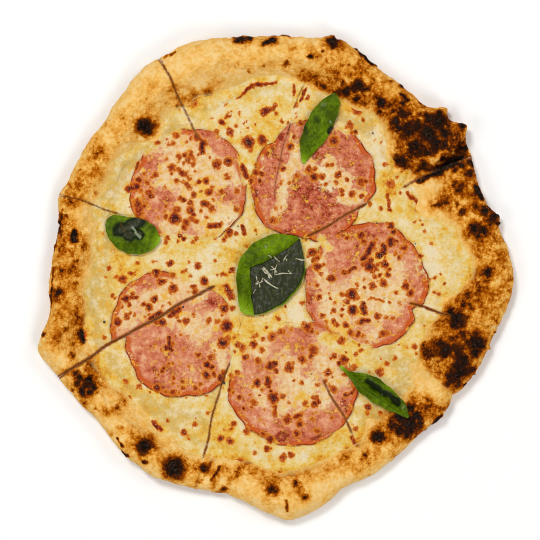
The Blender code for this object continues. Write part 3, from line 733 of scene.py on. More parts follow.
class Looks:
    """A node material that is put together a step at a time."""

    def __init__(self, name, roughness, **sockets):
        self.material = bpy.data.materials.new(name)
        self.material.use_nodes = True
        self.tree = self.material.node_tree
        self.shader = self.tree.nodes["Principled BSDF"]
        self.shader.inputs["Roughness"].default_value = roughness
        for socket, value in sockets.items():
            self.shader.inputs[socket.replace("_", " ")].default_value = value
        self.place = self.tree.nodes.new("ShaderNodeTexCoord").outputs["Object"]

    def plug(self, value, socket):
        """Links a node's output to a socket, or sets a number or colour on it."""
        if isinstance(value, bpy.types.NodeSocket):
            self.tree.links.new(value, socket)
        elif isinstance(value, tuple):
            socket.default_value = (*value, 1.0) if len(socket.default_value) == 4 else value
        else:
            socket.default_value = value

    def field(self, name):
        """A field painted on the piece's vertices."""
        node = self.tree.nodes.new("ShaderNodeAttribute")
        node.attribute_name = name
        return node.outputs["Fac"]

    def noise(self, size, detail=3.0, rough=0.55, stretch=None, turn=0.0):
        """Noise from 0 to 1 with lumps of a size in millimetres, stretched along a turned axis."""
        node = self.tree.nodes.new("ShaderNodeTexNoise")
        node.inputs["Scale"].default_value = 1 / (size * MM)
        node.inputs["Detail"].default_value = detail
        node.inputs["Roughness"].default_value = rough
        place = self.place
        if stretch:
            mapping = self.tree.nodes.new("ShaderNodeMapping")
            mapping.inputs["Scale"].default_value = stretch
            mapping.inputs["Rotation"].default_value = (0, 0, math.radians(turn))
            self.tree.links.new(place, mapping.inputs["Vector"])
            place = mapping.outputs["Vector"]
        self.tree.links.new(place, node.inputs["Vector"])
        return node.outputs["Fac"]

    def sum(self, first, second, operation="ADD"):
        """The sum of two values, or their result under another operation."""
        node = self.tree.nodes.new("ShaderNodeMath")
        node.operation = operation
        self.plug(first, node.inputs[0])
        self.plug(second, node.inputs[1])
        return node.outputs[0]

    def times(self, first, second):
        return self.sum(first, second, "MULTIPLY")

    def step(self, value, low, high, low_out=0.0, high_out=1.0):
        """Eases from one value to another as the input goes from low to high."""
        node = self.tree.nodes.new("ShaderNodeMapRange")
        node.interpolation_type = "SMOOTHSTEP"
        self.plug(value, node.inputs["Value"])
        node.inputs["From Min"].default_value = low
        node.inputs["From Max"].default_value = high
        node.inputs["To Min"].default_value = low_out
        node.inputs["To Max"].default_value = high_out
        return node.outputs["Result"]

    def mix(self, share, first, second):
        node = self.tree.nodes.new("ShaderNodeMixRGB")
        self.plug(share, node.inputs["Fac"])
        self.plug(first, node.inputs["Color1"])
        self.plug(second, node.inputs["Color2"])
        return node.outputs["Color"]

    def ramp(self, value, stops):
        """Colours along a value from 0 to 1."""
        node = self.tree.nodes.new("ShaderNodeValToRGB")
        self.plug(value, node.inputs["Fac"])
        elements = node.color_ramp.elements
        while len(elements) < len(stops):
            elements.new(1.0)
        for element, (place, colour) in zip(elements, stops):
            element.position = place
            element.color = (*colour, 1.0)
        return node.outputs["Color"]

    def uneven(self, value, *layers):
        """A value made uneven by layers of (noise, strength)."""
        for noise, strength in layers:
            value = self.sum(value, self.times(self.sum(noise, -0.5), strength))
        return value

    def rough(self, value, *layers):
        """A value scaled up and down by layers of (noise, strength), so that nothing stays nothing."""
        return self.times(value, self.uneven(1.0, *layers))

    def raised(self, value, share):
        """A value drawn up towards 1 by a share."""
        return self.sum(value, self.times(share, self.sum(1.0, value, "SUBTRACT")))

    def relief(self, *layers):
        """Fine bump of one or more layers of (height, depth in millimetres)."""
        total = None
        for height, depth in layers:
            part = self.times(height, depth)
            total = part if total is None else self.sum(total, part)
        node = self.tree.nodes.new("ShaderNodeBump")
        node.inputs["Distance"].default_value = MM
        self.tree.links.new(total, node.inputs["Height"])
        self.tree.links.new(node.outputs["Normal"], self.shader.inputs["Normal"])

    def finish(self, colour, roughness=None):
        self.plug(colour, self.shader.inputs["Base Color"])
        if roughness is not None:
            self.plug(roughness, self.shader.inputs["Roughness"])
        return self.material


def crust_looks():
    """Floury dough that toasts, scorches and chars, with cream at its inner edge and a pale underside."""
    looks = Looks("crust_skin", FLOURY_ROUGHNESS, Specular_IOR_Level=0.03)
    flour = looks.noise(0.7, 1.0, 0.5)
    fine = looks.noise(1.0, 2.0, 0.7)
    speck = looks.noise(2.3, 3.0, 0.65)
    blotch = looks.noise(7.0, 4.0, 0.6)
    char, toast = looks.field("char"), looks.field("toast")
    mottle = looks.uneven(0.0, (fine, 0.5), (speck, 1.25), (blotch, 1.5))
    mottle = looks.times(mottle, looks.sum(looks.times(toast, 0.7), 0.5))
    baked = looks.sum(looks.sum(looks.times(toast, 0.54), 0.09), mottle)
    halo = looks.rough(looks.sum(char, 0.5, "POWER"), (fine, 0.7), (speck, 1.6))
    baked = looks.raised(baked, looks.step(halo, 0.15, 0.95, 0.0, 0.5))
    scorched = looks.rough(looks.field("scorch"), (fine, 0.5), (speck, 1.0), (blotch, 2.2))
    baked = looks.raised(baked, looks.step(scorched, 0.04, 0.85, 0.0, 0.95))
    burnt = looks.rough(char, (fine, 0.8), (speck, 1.4), (blotch, 0.9))
    baked = looks.raised(baked, looks.step(burnt, 0.08, 0.8))
    # Painted shade: a brown line along each open cut, for the shadow in its crevice.
    cut_edge = looks.step(looks.rough(looks.field("wear"), (speck, 2.0)), 0.08, 0.6)
    colour = looks.mix(cut_edge, looks.ramp(baked, BAKED), CUT_SHADE_BROWN)
    black = looks.sum(looks.step(burnt, 0.45, 0.95), looks.step(scorched, 0.8, 1.3, 0.0, 0.95))
    colour = looks.mix(looks.step(black, 0, 1), colour, looks.ramp(looks.noise(1.6, 3.0, 0.7), CHARRED))
    dried = looks.times(looks.sum(scorched, looks.times(toast, 0.5)), -0.9)
    creamy = looks.uneven(looks.sum(looks.field("cream"), dried), (blotch, 0.8), (speck, 0.7))
    creamy = looks.step(creamy, 0.3, 0.8)
    covered = looks.sum(looks.times(creamy, 0.85), cut_edge, "SUBTRACT")
    colour = looks.mix(covered, colour, looks.ramp(speck, CREAMED))
    spotted = looks.step(looks.noise(9.0, 3.0, 0.6), 0.52, 0.66)
    under_colour = looks.mix(spotted, BAKED_UNDER, SPOTTED_UNDER)
    colour = looks.mix(looks.field("under"), colour, under_colour)
    looks.relief((flour, 0.5), (fine, 0.4), (speck, 0.8))
    return looks.finish(colour, looks.step(creamy, 0, 1, FLOURY_ROUGHNESS, CREAMY_ROUGHNESS))


crust = crust_looks()
for number in range(len(CUTS)):
    slice_of_dough = dough_slice(number)
    slice_of_dough.data.materials.append(crust)
    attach(slice_of_dough, "root")
    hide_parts(f"dough_{number + 1}")

# ---------------------------------------------------------------- the cream and cheese
# Cream and grated cheese were spread on the dough and melted together to one soft skin,
# which thins out up the rim's slope. Small bubbles in it browned, and oil pooled yellow.

CREAM_THICKNESS = 2.1
CREAM_LIP = 0.75        # height of the cream's rounded edge
CREAM_FILM = 0.25       # what is left of it at its edge
CREAM_FILLS = (0.0, 6.0)        # distances in from its edge between which it thickens
LIP_ROUNDS = (-1.2, 0.8)        # and between which its edge rounds over
WAVES_START = (-1.0, 3.0)       # and between which its waves begin
CREAM_BEYOND = 6.0      # how far the skin is laid past its mean edge, sunk in the dough
MELT_LUMPS = ((0.45, 15.0, 2, 41), (0.42, 5.0, 3, 43), (0.14, 1.7, 2, 47))
WHITE_RISE = 0.5        # of thick white cheese
DOME_RISE = 0.5         # of a blister
CUT_SAG = 0.6
CUT_WIDTH = 1.2         # how far from a cut the skin sags and is painted with shade
CHEESE_COLUMNS = 180
CHEESE_ROWS = 170
CHEESE_BED = 3.2        # flat underside, inside the dough
BED_INSET = 0.4
BED_STEP = 1.6          # how far the outermost row steps down before it drops to the bed

# Browned blisters: x, y, radius and how dark, or a streak's two ends, radius and how dark.
BLISTERS = (
    # on the upper left round
    (-94.5, 55.2, -89.5, 55.8, 1.9), (-88.3, 60.3, 1.6, 0.8), (-82.5, 59.7, 1.2, 0.5),
    (-86.4, 53.3, 1.6, 0.45), (-81.3, 52.5, 1.5, 0.7), (-80, 50.2, 1.4, 0.8), (-77.5, 64.1, 1.6, 0.7),
    (-89, 46, -87, 38.5, 2.4, 0.62), (-88.3, 71.8, -89.5, 66.7, 1, 0.6), (-76.2, 84.5, 1.6, 0.6),
    (-64.1, 88.9, 1.9, 0.5), (-66.7, 83.8, 1.6, 0.5), (-57.2, 84.5, 1, 0.4), (-58.5, 76.5, 1.6, 0.6),
    (-55.2, 77.5, 1.5, 0.6), (-56.5, 73.5, 1.7, 0.6), (-53.6, 75.2, 1.4, 0.5), (-62.2, 75, 1.5, 0.65),
    (-53.3, 70.5, 1.4, 0.5), (-59, 71, 1, 0.45), (-47, 84.5, -47.6, 78.1, 1.5, 0.92),
    (-50.8, 87.6, 1.6, 0.75), (-66.7, 68, 2.2, 0.62), (-62.2, 66.7, -59.1, 63.5, 1.4, 0.72),
    (-63.5, 59.7, 1.4, 0.55), (-58, 58, 1.6, 0.6), (-55.6, 55.8, 1.7, 0.62), (-55.2, 61, 1.3, 0.5),
    (-49.5, 59.1, 1.4, 0.65), (-45.1, 59.7, 1.8, 0.66), (-47.6, 54, 1, 0.4), (-43.2, 52.7, 1.8, 0.78),
    (-41.3, 56, 1.5, 0.35), (-53.3, 51.4, 1.6, 0.62), (-55.2, 45.1, 1.6, 0.8), (-55.2, 41.3, 1.9, 0.95),
    (-53.3, 38.7, 1.2, 0.7), (-59.7, 47.6, 1.6, 0.62), (-64.8, 36.2, 2.9, 1), (-64.1, 41.3, 2.2, 0.6),
    (-57.8, 33.7, 1.9, 0.72), (-59.1, 30.5, 1.5, 0.6), (-51.4, 34.3, 1.5, 0.55),
    (-46.8, 45.1, -44.5, 45, 2, 0.68), (-41.3, 41.9, 2.2, 0.55), (-44.5, 36.2, 1.1, 0.5),
    (-42.5, 31.1, -36.2, 32.4, 1.6, 0.6), (-29.8, 27.3, 1.8, 0.7), (-33.7, 22.2, 1.2, 0.6),
    (-38.1, 70.5, 2.4, 0.8), (-31.1, 72.4, 2.1, 0.82), (-31.1, 62.2, 1.8, 0.65), (-35.5, 52.4, 1.4, 0.6),
    (-25.4, 53.3, 1.5, 0.66), (-25.4, 41.9, 1.6, 0.66), (-21.6, 68.6, -19.7, 62.9, 1.5, 0.72),
    (-21.6, 31.1, -21, 27.3, 1.2, 0.8), (-71.1, 36.8, 1.2, 0.55), (-75.6, 36.2, 0.9, 0.4),
    (-69.9, 23.5, 1.6, 0.5), (-61.6, 24.8, 1.1, 0.6), (-59.7, 22.9, 1, 0.85), (-52.5, 66, 1, 0.45),
    (-40.5, 47.5, 1.2, 0.4), (-48.5, 40.5, 1.3, 0.45),
    # the bare cheese between the two upper rounds and the rim
    (-34.9, 97.2, 1.7, 0.7), (-29.8, 90.8, 2.1, 0.92), (-26, 94.6, 1.1, 0.45), (-18.4, 84.5, 3, 1),
    (-9.5, 85.7, 2.4, 0.85), (-17, 79.5, 1.6, 0.35), (-7.6, 104.8, 1.9, 0.78),
    (-8.9, 102.2, -1.3, 107.3, 1.3, 0.66), (-41, 100, 1.2, 0.4), (3, 98, 1.2, 0.35), (12, 103, 1.1, 0.3),
    (-24, 104, 1.2, 0.35), (-33, 108, 1.3, 0.4),
    # on the upper right round
    (10.8, 87.6, 1.3, 0.6), (8.3, 81.9, 1.6, 0.75), (36.2, 85.7, 2.4, 0.74), (3.8, 67.3, 1.5, 0.75),
    (20.3, 66.7, 2.1, 0.66), (24.1, 67.9, 1.3, 0.55), (23.5, 62.2, 2.1, 0.92), (28.6, 62.9, 1.6, 0.66),
    (38.7, 63.5, 1.6, 0.76), (44.5, 61, 1.3, 0.55), (34.9, 70.5, 1.3, 0.5), (12.7, 63.5, 1.7, 0.4),
    (2.5, 59, 1.7, 0.35), (7.6, 58.4, 1.3, 0.4), (53.3, 59.1, 1.8, 0.78), (56.5, 59.7, 1.1, 0.7),
    (47.6, 51.4, 1.6, 0.65), (41.3, 50.8, 1.2, 0.5), (37.5, 59, 1.1, 0.5), (-0.6, 41.9, 1.1, 0.5),
    (-2.5, 34.9, 1.8, 0.7), (-13.3, 65.4, 1.8, 0.55), (-9.5, 64.1, 1.8, 0.55), (-10.8, 60.3, 1.1, 0.8),
    (-16.5, 59.7, 1.5, 0.85), (26, 29.8, 1, 0.75), (46.4, 95.3, 2, 0.65), (50, 91, 1.2, 0.7),
    (51.4, 104.8, 2.8, 0.55), (62, 86, 1.1, 0.3), (66, 84, 0.9, 0.35),
    # on the right round
    (54, 24.8, 1.9, 0.88), (44.5, 23.5, 1.3, 0.72), (61, 20.3, 58.4, 14.6, 1.5, 0.94),
    (58.4, 14.6, 54.6, 10.2, 1.4, 0.94), (72.4, 31.1, 1.6, 0.85), (74.3, 27.3, 1.4, 0.8),
    (72.4, 21, 2.4, 0.84), (68, 19, 68, 14.6, 1.5, 0.84), (68, 14.6, 64.8, 12.7, 1.4, 0.84),
    (76.2, 21.6, 1.2, 0.7), (80.6, 17.8, 1.9, 0.76), (75.5, 14, 1.3, 0.45), (58.4, 5.7, 2.3, 0.95),
    (61, 2.5, 1.6, 0.6), (59.5, 9.5, 1.6, 0.6), (68.6, 7, 1.9, 0.8), (71.5, 3.5, 1.1, 0.5),
    (65.4, 0, 1.4, 0.6), (63, 4.5, 1.5, 0.55), (70.5, 0, 1.6, 0.68), (67.9, -5.1, 2, 0.7),
    (60.3, -7, 2, 0.62), (81.9, -7.6, 1.9, 0.8), (84.5, -11.4, 2.1, 0.72), (76, -10.8, 1.3, 0.4),
    (78, -17.8, 1.3, 0.45), (90.8, 12.1, 1.5, 0.62), (43.2, 1.9, 1.5, 0.8),
    (45.7, 2.5, 49.5, 4.4, 1.1, 0.74), (34.9, -2.5, 2.1, 0.84), (28, 0.6, 1.2, 0.6), (26, 5.1, 1.9, 0.7),
    (29.8, 6.4, 1.2, 0.6), (25.4, 10.8, 1.5, 0.65), (22.2, 14.6, 2.1, 0.8), (25.4, -6.4, 1.2, 0.65),
    (26.7, -14, 1.5, 0.65), (47.6, -12.1, 2.9, 1), (44.5, -17.1, 1.6, 0.85), (48.3, -22.9, 2.4, 1),
    (55.2, -19, 55.2, -24.1, 1.6, 0.88), (53.3, -29.8, 58.4, -29.2, 1.3, 0.8), (64.1, -26, 1.9, 0.7),
    (69.2, -26.7, 1.4, 0.6), (41.3, -22.2, 1.2, 0.5), (36.2, -22.9, 1.3, 0.5), (28.6, -26, 1.6, 0.6),
    (36.2, -29.8, 1.5, 0.6), (43.8, -31.8, 1.9, 0.8), (47, -36.8, 1.9, 0.66), (51.4, -37.5, 1.9, 0.6),
    (67.3, -37.5, 1.8, 0.6), (40.6, -41.9, 2.1, 0.6), (54, -47.6, 1.3, 0.45), (50.2, -50.2, 1.3, 0.45),
    (41.5, -12, 1.3, 0.5), (60, -14.5, 68, -16.5, 0.8, 0.35), (51, -6, 1.2, 0.4),
    # on the lower left round
    (-106.7, 4.4, 1.3, 0.6), (-98.4, -2.5, 2.2, 0.7), (-88.3, 7.6, 1.2, 0.6), (-94, 1.3, 1, 0.4),
    (-76.8, 1.3, 1.9, 0.85), (-67.9, 7.6, 1.8, 0.8), (-73.7, -4.4, 2.1, 0.8), (-66, 0, 1.7, 0.55),
    (-66, -8.9, 2.4, 0.7), (-55.2, -0.6, 1.3, 0.45), (-50.8, 5.7, 2, 0.75), (-46.4, -3.8, 2, 0.85),
    (-52.1, -10.2, 1.6, 0.7), (-32.4, -7, -29.2, -14, 1.8, 0.58), (-28.6, 3.2, 1.6, 0.6),
    (-33, 0, 1.4, 0.35), (-95.9, -15.2, 2, 0.8), (-98.4, -15.2, -88.9, -14, 1.2, 0.62),
    (-104.8, -12.7, 1.3, 0.5), (-78.1, -15.2, 1.8, 0.8), (-85, -18.4, 1.5, 0.6), (-81.3, -20.3, 1.8, 0.93),
    (-95.9, -26.7, 1.8, 0.62), (-101.6, -29.8, 1.9, 0.85), (-74.9, -23.5, -80.6, -29.2, 1.4, 1),
    (-73, -30.5, 1.9, 0.9), (-76.5, -30.5, 1.2, 0.7), (-67.9, -26, -62.2, -21.6, 1.5, 0.75),
    (-66, -21, 1, 0.85), (-53.3, -25.4, 1.3, 0.4), (-57.8, -29.2, 1.8, 0.6), (-62.2, -29.8, 1.4, 0.45),
    (-61.6, -38.1, 1.2, 0.45), (-69.2, -40, -67.3, -47.6, 1.1, 0.88), (-70.5, -45.7, 1.2, 0.85),
    (-50.2, -50.2, 1.6, 0.6), (-41.9, -52.1, 1.9, 0.76), (-44.5, -57.2, 1.8, 0.86),
    (-41.3, -59, 1.4, 0.75), (-45.1, -63.5, 2.1, 0.95), (-40, -63.5, 1.4, 0.8), (-35.6, -65.4, 2, 0.95),
    (-34.3, -62.2, 1.2, 0.8), (-32.4, -32.4, 2.7, 1), (-34.3, -43.2, 2.7, 1), (-33.7, -21.6, 2.2, 0.95),
    (-28.6, -21, 1.5, 0.66), (-43.2, -29.2, 1.4, 0.6), (-38.1, -29.8, 1.9, 0.5),
    (-72.4, -59.7, -73, -62, 1.2, 0.7), (-76.2, -71.8, 1.9, 0.84), (-71.1, -74.3, 1.3, 0.65),
    (-66, -75, 2, 0.7), (-59.7, -68, 1.2, 0.5), (-59.7, -72.4, 1.4, 0.6), (-52, -71.8, 1.2, 0.6),
    (-48.3, -69.2, 1.3, 0.6), (-96.5, -68, 1.4, 0.6), (-87.6, -71.1, 1.6, 0.55), (-22.2, -45.7, 1.9, 0.62),
    (-66, -56.5, 1.2, 0.45), (-101, -21, 1.1, 0.35), (-95, -37, 1.4, 0.35),
    # on the bottom round
    (-19.7, -52.1, 1.6, 0.75), (-12, -54.6, 1.4, 0.65), (-13.3, -38.1, 1.6, 0.5), (-15.2, -44.5, 2.2, 0.7),
    (-9.5, -47.6, 1.8, 0.5), (-3.2, -39.4, 2.2, 0.7), (4.4, -36.2, 1.5, 0.45), (1.3, -27.9, 1.1, 0.5),
    (-4.4, -57.8, 2.1, 0.95), (-1.3, -56.5, 1.5, 0.85), (-0.6, -61, 1.3, 0.7),
    (-5.7, -65.4, -5.1, -70.5, 1.3, 0.8), (-24.8, -62.2, 1.5, 0.55), (-12.7, -68.6, 2, 0.75),
    (-9.5, -73, 1.5, 0.4), (-24.1, -78.1, 1.3, 0.65), (-14.6, -81.3, 1.9, 0.6), (-2.5, -78.1, 2.5, 1),
    (-3.8, -73.5, 1.1, 0.8), (-1.3, -83, -1.3, -90, 1.1, 0.5), (3.8, -76.8, 1.7, 0.62),
    (7.6, -59.1, 2.5, 0.74), (15.9, -54, 2, 0.76), (22.9, -47.6, 2.5, 0.7), (21.6, -51.5, 1.3, 0.75),
    (15.9, -69.2, 1.5, 0.5), (36.2, -51.4, 1.4, 0.72), (42.5, -54, 2.2, 0.68), (39.4, -56.5, 1.2, 0.8),
    (32.4, -62.2, 1.9, 0.8), (43.2, -62.9, 1.6, 0.6), (30.5, -67.3, 1.4, 0.55), (36.2, -72.4, 2.3, 0.5),
    (43.2, -76.2, 48.3, -74.9, 1.1, 0.75), (49.5, -73, 1.2, 0.6), (24.1, -78.1, 1.8, 0.62),
    (26, -80.5, 1.3, 0.62), (23.5, -82.6, 1.5, 0.95), (17.8, -81.9, 1.5, 0.45), (24.8, -87, 1.2, 0.45),
    (7, -92.7, 2.2, 0.65), (11.4, -90.2, 15.2, -88.9, 1.2, 0.62), (14.6, -94.6, 1.8, 0.75),
    (12.7, -101, 1.8, 0.9), (25.4, -99.1, 1.8, 0.6), (-4.4, -104.1, 2.2, 0.8), (-8.9, -101, 1.3, 0.6),
    (-19.7, -99.1, 2, 0.5), (19, -32.4, 2.2, 0.9), (22.2, -35.6, 1.3, 0.7), (-16, -84, 1.2, 0.6),
    (-21, -85, 1.2, 0.65), (-17, -76, 1.2, 0.6),
    # the bare cheese at the right, the lower right, the bottom and the left
    (72.4, 58.4, 2.5, 0.6), (69.2, 70.5, 1.9, 0.45), (70.5, 50.8, 71.8, 41.3, 1.1, 0.55),
    (83.2, 52.1, 89.5, 45.7, 1.3, 0.6), (87.6, 33.7, 1.3, 0.4), (94, 28, 1.2, 0.35), (99, 38, 1.4, 0.4),
    (80, 66, 1.4, 0.35), (87.6, -45.1, 1.5, 0.55), (103, -12, 1.3, 0.4), (97, -3, 1.2, 0.35),
    (98, 20, 1.3, 0.4), (57.8, -83.8, 1.8, 0.65), (65.4, -61.6, 2.2, 0.6), (49.5, -59, 1.6, 0.5),
    (45, -63.5, 1.4, 0.5), (70, -57, 1.4, 0.45), (76, -52, 1.4, 0.4), (60, -93, 1.5, 0.5),
    (66, -88, 1.4, 0.5), (50, -98, 1.6, 0.5), (-29.8, -105.4, 1.9, 0.68), (-35.6, -104.1, 1.6, 0.72),
    (-27.3, -94.6, 1.6, 0.5), (-6.3, -109.9, 1.4, 0.7), (-23.5, -118.7, 2, 0.62), (3.8, -116.2, 1.9, 0.62),
    (8.9, -114.3, 1.8, 0.62), (-14, -113, 1.5, 0.5), (-59.7, -100.3, 1.7, 0.62), (-101, -84.5, 2, 0.62),
    (-94.6, -78.7, 1.6, 0.6), (-78.1, -94.6, 1.9, 0.6), (-70, -93, 1.3, 0.4), (-95.3, -15.9, 1.4, 0.5),
    (-110, -40, 1.4, 0.4), (-52, -95, 1.4, 0.45), (-44, -88, 1.4, 0.4),
)
BLISTER_SPREAD = 1.2    # browned skin reaches past a blister's dome
PLAIN_DARK = 0.8        # how dark a streak is that names no darkness
BLISTER_SEED = 5
NEAR_BLISTERS = 400     # small ones round the larger
NEAR_REACH = 4.5
LONE_BLISTERS = 170     # small ones on their own
LONE_REACH = 112.0      # half the square they are picked from
LONE_CHANCE = 1.2       # their chance at the middle, which falls to 0.2 at
LONE_FALL = 118.0       # this distance
SMALL_RADIUS = (0.6, 1.5)
SMALL_DARK = (0.06, 0.6)

# Where the cheese is thick and white, where oil pooled yellow, and where it dulled to olive.
WHITE_PLACES = (
    (12, -24, 9, 1), (-32, 36, 9, 0.9), (66, 80, 9, 0.8), (60, 92, 6, 0.8), (25, -9, 6, 0.6),
    (96, 6, 12, 0.75), (70, -20, 8, 0.9), (80, -8, 6, 0.8), (30, 66, 32, 56, 5.5, 0.95), (3, 54, 5, 0.8),
    (-97, -52, 8, 0.7), (-46, -4, 5, 0.7), (-50, 2, -42, 12, 6, 0.8), (20, -70, 10, 0.85),
    (5, -84, 4, 0.8), (32, -80, 5, 0.8), (-96, 60, 6, 0.8), (-87, 25, 5, 0.5), (48, -17, 10, 0.7),
    (33, -13, 8, 0.8), (-20, 100, 8, 0.6), (10, 98, 8, 0.6), (94, 60, 5, 0.8), (97, 56, 103, 52, 3, 0.9),
    (44, -86, 6, 0.5), (-22, -94, 6, 0.6), (100, -20, 9, 0.5), (-45, 68, 6, 0.6), (-70, 80, 6, 0.6),
    (-28, 58, 6, 0.6), (-14, -116, 14, -116, 6, 0.5), (104, -24, 6, 0.5), (-38, 34, -28, 28, 7, 1),
)
YELLOW_PLACES = (
    (-34, -100, 11, 0.9), (-28, -116, 6, 0.5), (70, 55, 9, 0.8), (-47, 52, 12, 0.6), (-42, 30, 9, 0.7),
    (-22, 20, 8, 0.6), (40, -35, 9, 0.8), (62, 8, 8, 0.8), (52, -27, 8, 0.7), (-98, 5, 9, 0.7),
    (-107, 20, 8, 0.5), (-98, -72, 10, 0.7), (-35, -35, 7, 0.8), (-17, -36, 9, 0.6), (18, -82, 9, 0.6),
    (-12, 88, 8, 0.6), (100, 45, 8, 0.6), (60, -95, 10, 0.7), (38, -100, 9, 0.6), (85, 40, 6, 0.6),
    (0, 104, 7, 0.6), (-105, 40, 6, 0.6), (-34, -6, 6, 0.7), (30, -120, 9, 0.5), (-57, -70, 4, 0.4),
    (83, 66, 5, 0.6),
)
OLIVE_PLACES = (
    (-108, 25, -112, -20, 8, 0.75), (-72, -86, -48, -92, 9, 0.8), (-40, -80, -38, -66, 4, 0.7),
    (66, -50, 88, -62, 9, 0.85), (50, -88, 60, -76, 6, 0.6), (86, -25, 96, -35, 6, 0.55),
    (91, -27, 4, 0.6), (50, 104, 60, 98, 3.5, 0.8), (-46, 104, -40, 114, 5, 0.6),
    (-105, 60, -98, 72, 5, 0.7), (-4, 118, 14, 108, 6, 0.4), (-115, -42, 5, 0.6),
    (90, 44, 97, 36, 4, 0.45), (-56, 105, -50, 97, 3, 0.6), (-28, 112, -8, 110, 5, 0.35),
) + on_rim(
    (124, 116, 139, 117, 6, 0.8), (139, 117, 155, 119, 6, 0.9), (160, 119, 173, 119, 4, 0.5),
    (176, 118, 189, 119, 6, 0.8), (189, 119, 202, 120, 6, 0.9), (207, 118, 220, 118, 6, 0.8),
    (223, 116, 236, 117, 6, 0.85), (236, 118, 246, 118, 6, 0.7), (302, 108, 319, 108, 8, 0.95),
    (58, 109, 68, 109, 6, 1),
)

# Soft folds and ridges in the skin: two ends, half width, and height.
FOLDS = (
    (-96, 69, -108, 48, 1.6, -0.8), (-69, 92, -59, 95.5, 1, 1.2), (-119, 40, -117, 0, 1.8, 0.7),
    (-114, 42, -112, -5, 1.4, -0.6), (-112, -5, -116, -38, 1.6, -0.5), (-58, 103, -31, 111, 1.6, 1),
    (-74, 89, -68, 101, 1.4, -0.7), (-92, -60, -97, -40, 1.5, -0.5), (-78, -78, -66, -88, 0.9, -0.5),
    (-72, -76, -62, -84, 0.8, 0.5), (92, -25, 80, -48, 1.6, 0.6), (100, -22, 112, -34, 1.8, 0.8),
    (-30, -100, -5, -112, 1.6, 0.5), (60, -60, 92, -66, 2, -0.5), (74, 92, 84, 72, 2, -0.6),
    (92, 58, 104, 52, 2.2, 0.9), (40, 104, 56, 96, 1.8, -0.6), (-15, -98, 20, -108, 1.4, -0.4),
)


def small_blisters():
    """Seeded places for the many small blisters, in swarms round the larger ones and on their own."""
    pick = np.random.default_rng(BLISTER_SEED)
    places = []
    while len(places) < NEAR_BLISTERS:
        beside = BLISTERS[pick.integers(len(BLISTERS))]
        places.append(np.array(beside[:2]) + pick.normal(0, NEAR_REACH, 2))
    while len(places) < NEAR_BLISTERS + LONE_BLISTERS:
        place = pick.uniform(-LONE_REACH, LONE_REACH, 2)
        if pick.random() < LONE_CHANCE - math.hypot(*place) / LONE_FALL:
            places.append(place)
    return tuple((*place, pick.uniform(*SMALL_RADIUS), pick.uniform(*SMALL_DARK)) for place in places)


def spread_out(mark):
    """A mark with its radius grown to that of the browned skin round it."""
    at = 4 if len(mark) > 4 else 2
    return (*mark[:at], mark[at] * BLISTER_SPREAD, *(mark[at + 1:] or (PLAIN_DARK,)))


ALL_BLISTERS = tuple(map(spread_out, BLISTERS + small_blisters()))


def blister_field(x, y):
    """Blisters with uneven edges: 1 in a dark one's middle."""
    uneven_x, uneven_y = wobbled(*wobbled(x, y, 0.7, 3.2, 53), 0.35, 1.4, 63)
    return mark_field(uneven_x, uneven_y, ALL_BLISTERS + CHAR_MARKS)


def melt_waves(x, y):
    """The melted skin's soft waves, folds and the domes of its blisters."""
    waves = layered(x, y, np.zeros_like(x), MELT_LUMPS)
    fold_x, fold_y = wobbled(x, y, 1.2, 7.0, 51)
    for *ends, half_width, height in FOLDS:
        waves += height * mark_field(fold_x, fold_y, ((*ends, half_width),))
    waves += WHITE_RISE * mark_field(x, y, WHITE_PLACES)
    return waves + DOME_RISE * ease(blister_field(x, y), 0.15, 0.6)


def melt_top(x, y):
    """Height of the melted skin's top."""
    dough = dough_height(x, y)
    inside = cream_inside(x, y)
    full = ease(inside, *CREAM_FILLS)
    thickness = CREAM_THICKNESS * full + CREAM_LIP * (ease(inside, *LIP_ROUNDS) - 1) + CREAM_FILM
    sag = CUT_SAG * cut_wear(x, y, CUT_WIDTH)
    waves = (melt_waves(x, y) - sag) * ease(inside, *WAVES_START)
    return dough + skin_lift(x, y, dough) + thickness + waves - sunk_edge(x, y, dough)


def melt_fields(x, y):
    """Blisters, white, yellow and olive places, and the painted shade along the skin's cuts."""
    return {
        "blister": blister_field(x, y),
        "toast": mark_field(x, y, TOAST_MARKS, stacked=True),
        "white": mark_field(*wobbled(x, y, 2.0, 6.0, 57), WHITE_PLACES),
        "yellow": mark_field(*wobbled(x, y, 2.0, 6.0, 59), YELLOW_PLACES),
        "olive": mark_field(*wobbled(x, y, 2.0, 6.0, 61), OLIVE_PLACES),
        "wear": cut_wear(x, y, CUT_WIDTH),
    }


def bedded(places, bed):
    """Lets the rim of a laid skin drop to a flat bed a little inside its outline."""
    x, y, z = (np.pad(part, 2, mode="edge") for part in places)
    rows, columns = x.shape
    from_edge = np.minimum.outer(np.minimum(np.arange(rows), np.arange(rows)[::-1]),
                                 np.minimum(np.arange(columns), np.arange(columns)[::-1]))
    centre_x, centre_y = places[0].mean(), places[1].mean()
    away = np.maximum(np.hypot(x - centre_x, y - centre_y), 1e-6)
    pull = np.where(from_edge == 0, BED_INSET / away, 0)
    stepped = np.minimum(z, np.maximum(bed, z - BED_STEP))
    z = np.where(from_edge == 0, bed, np.where(from_edge == 1, stepped, z))
    return np.array([x + (centre_x - x) * pull, y + (centre_y - y) * pull, z])


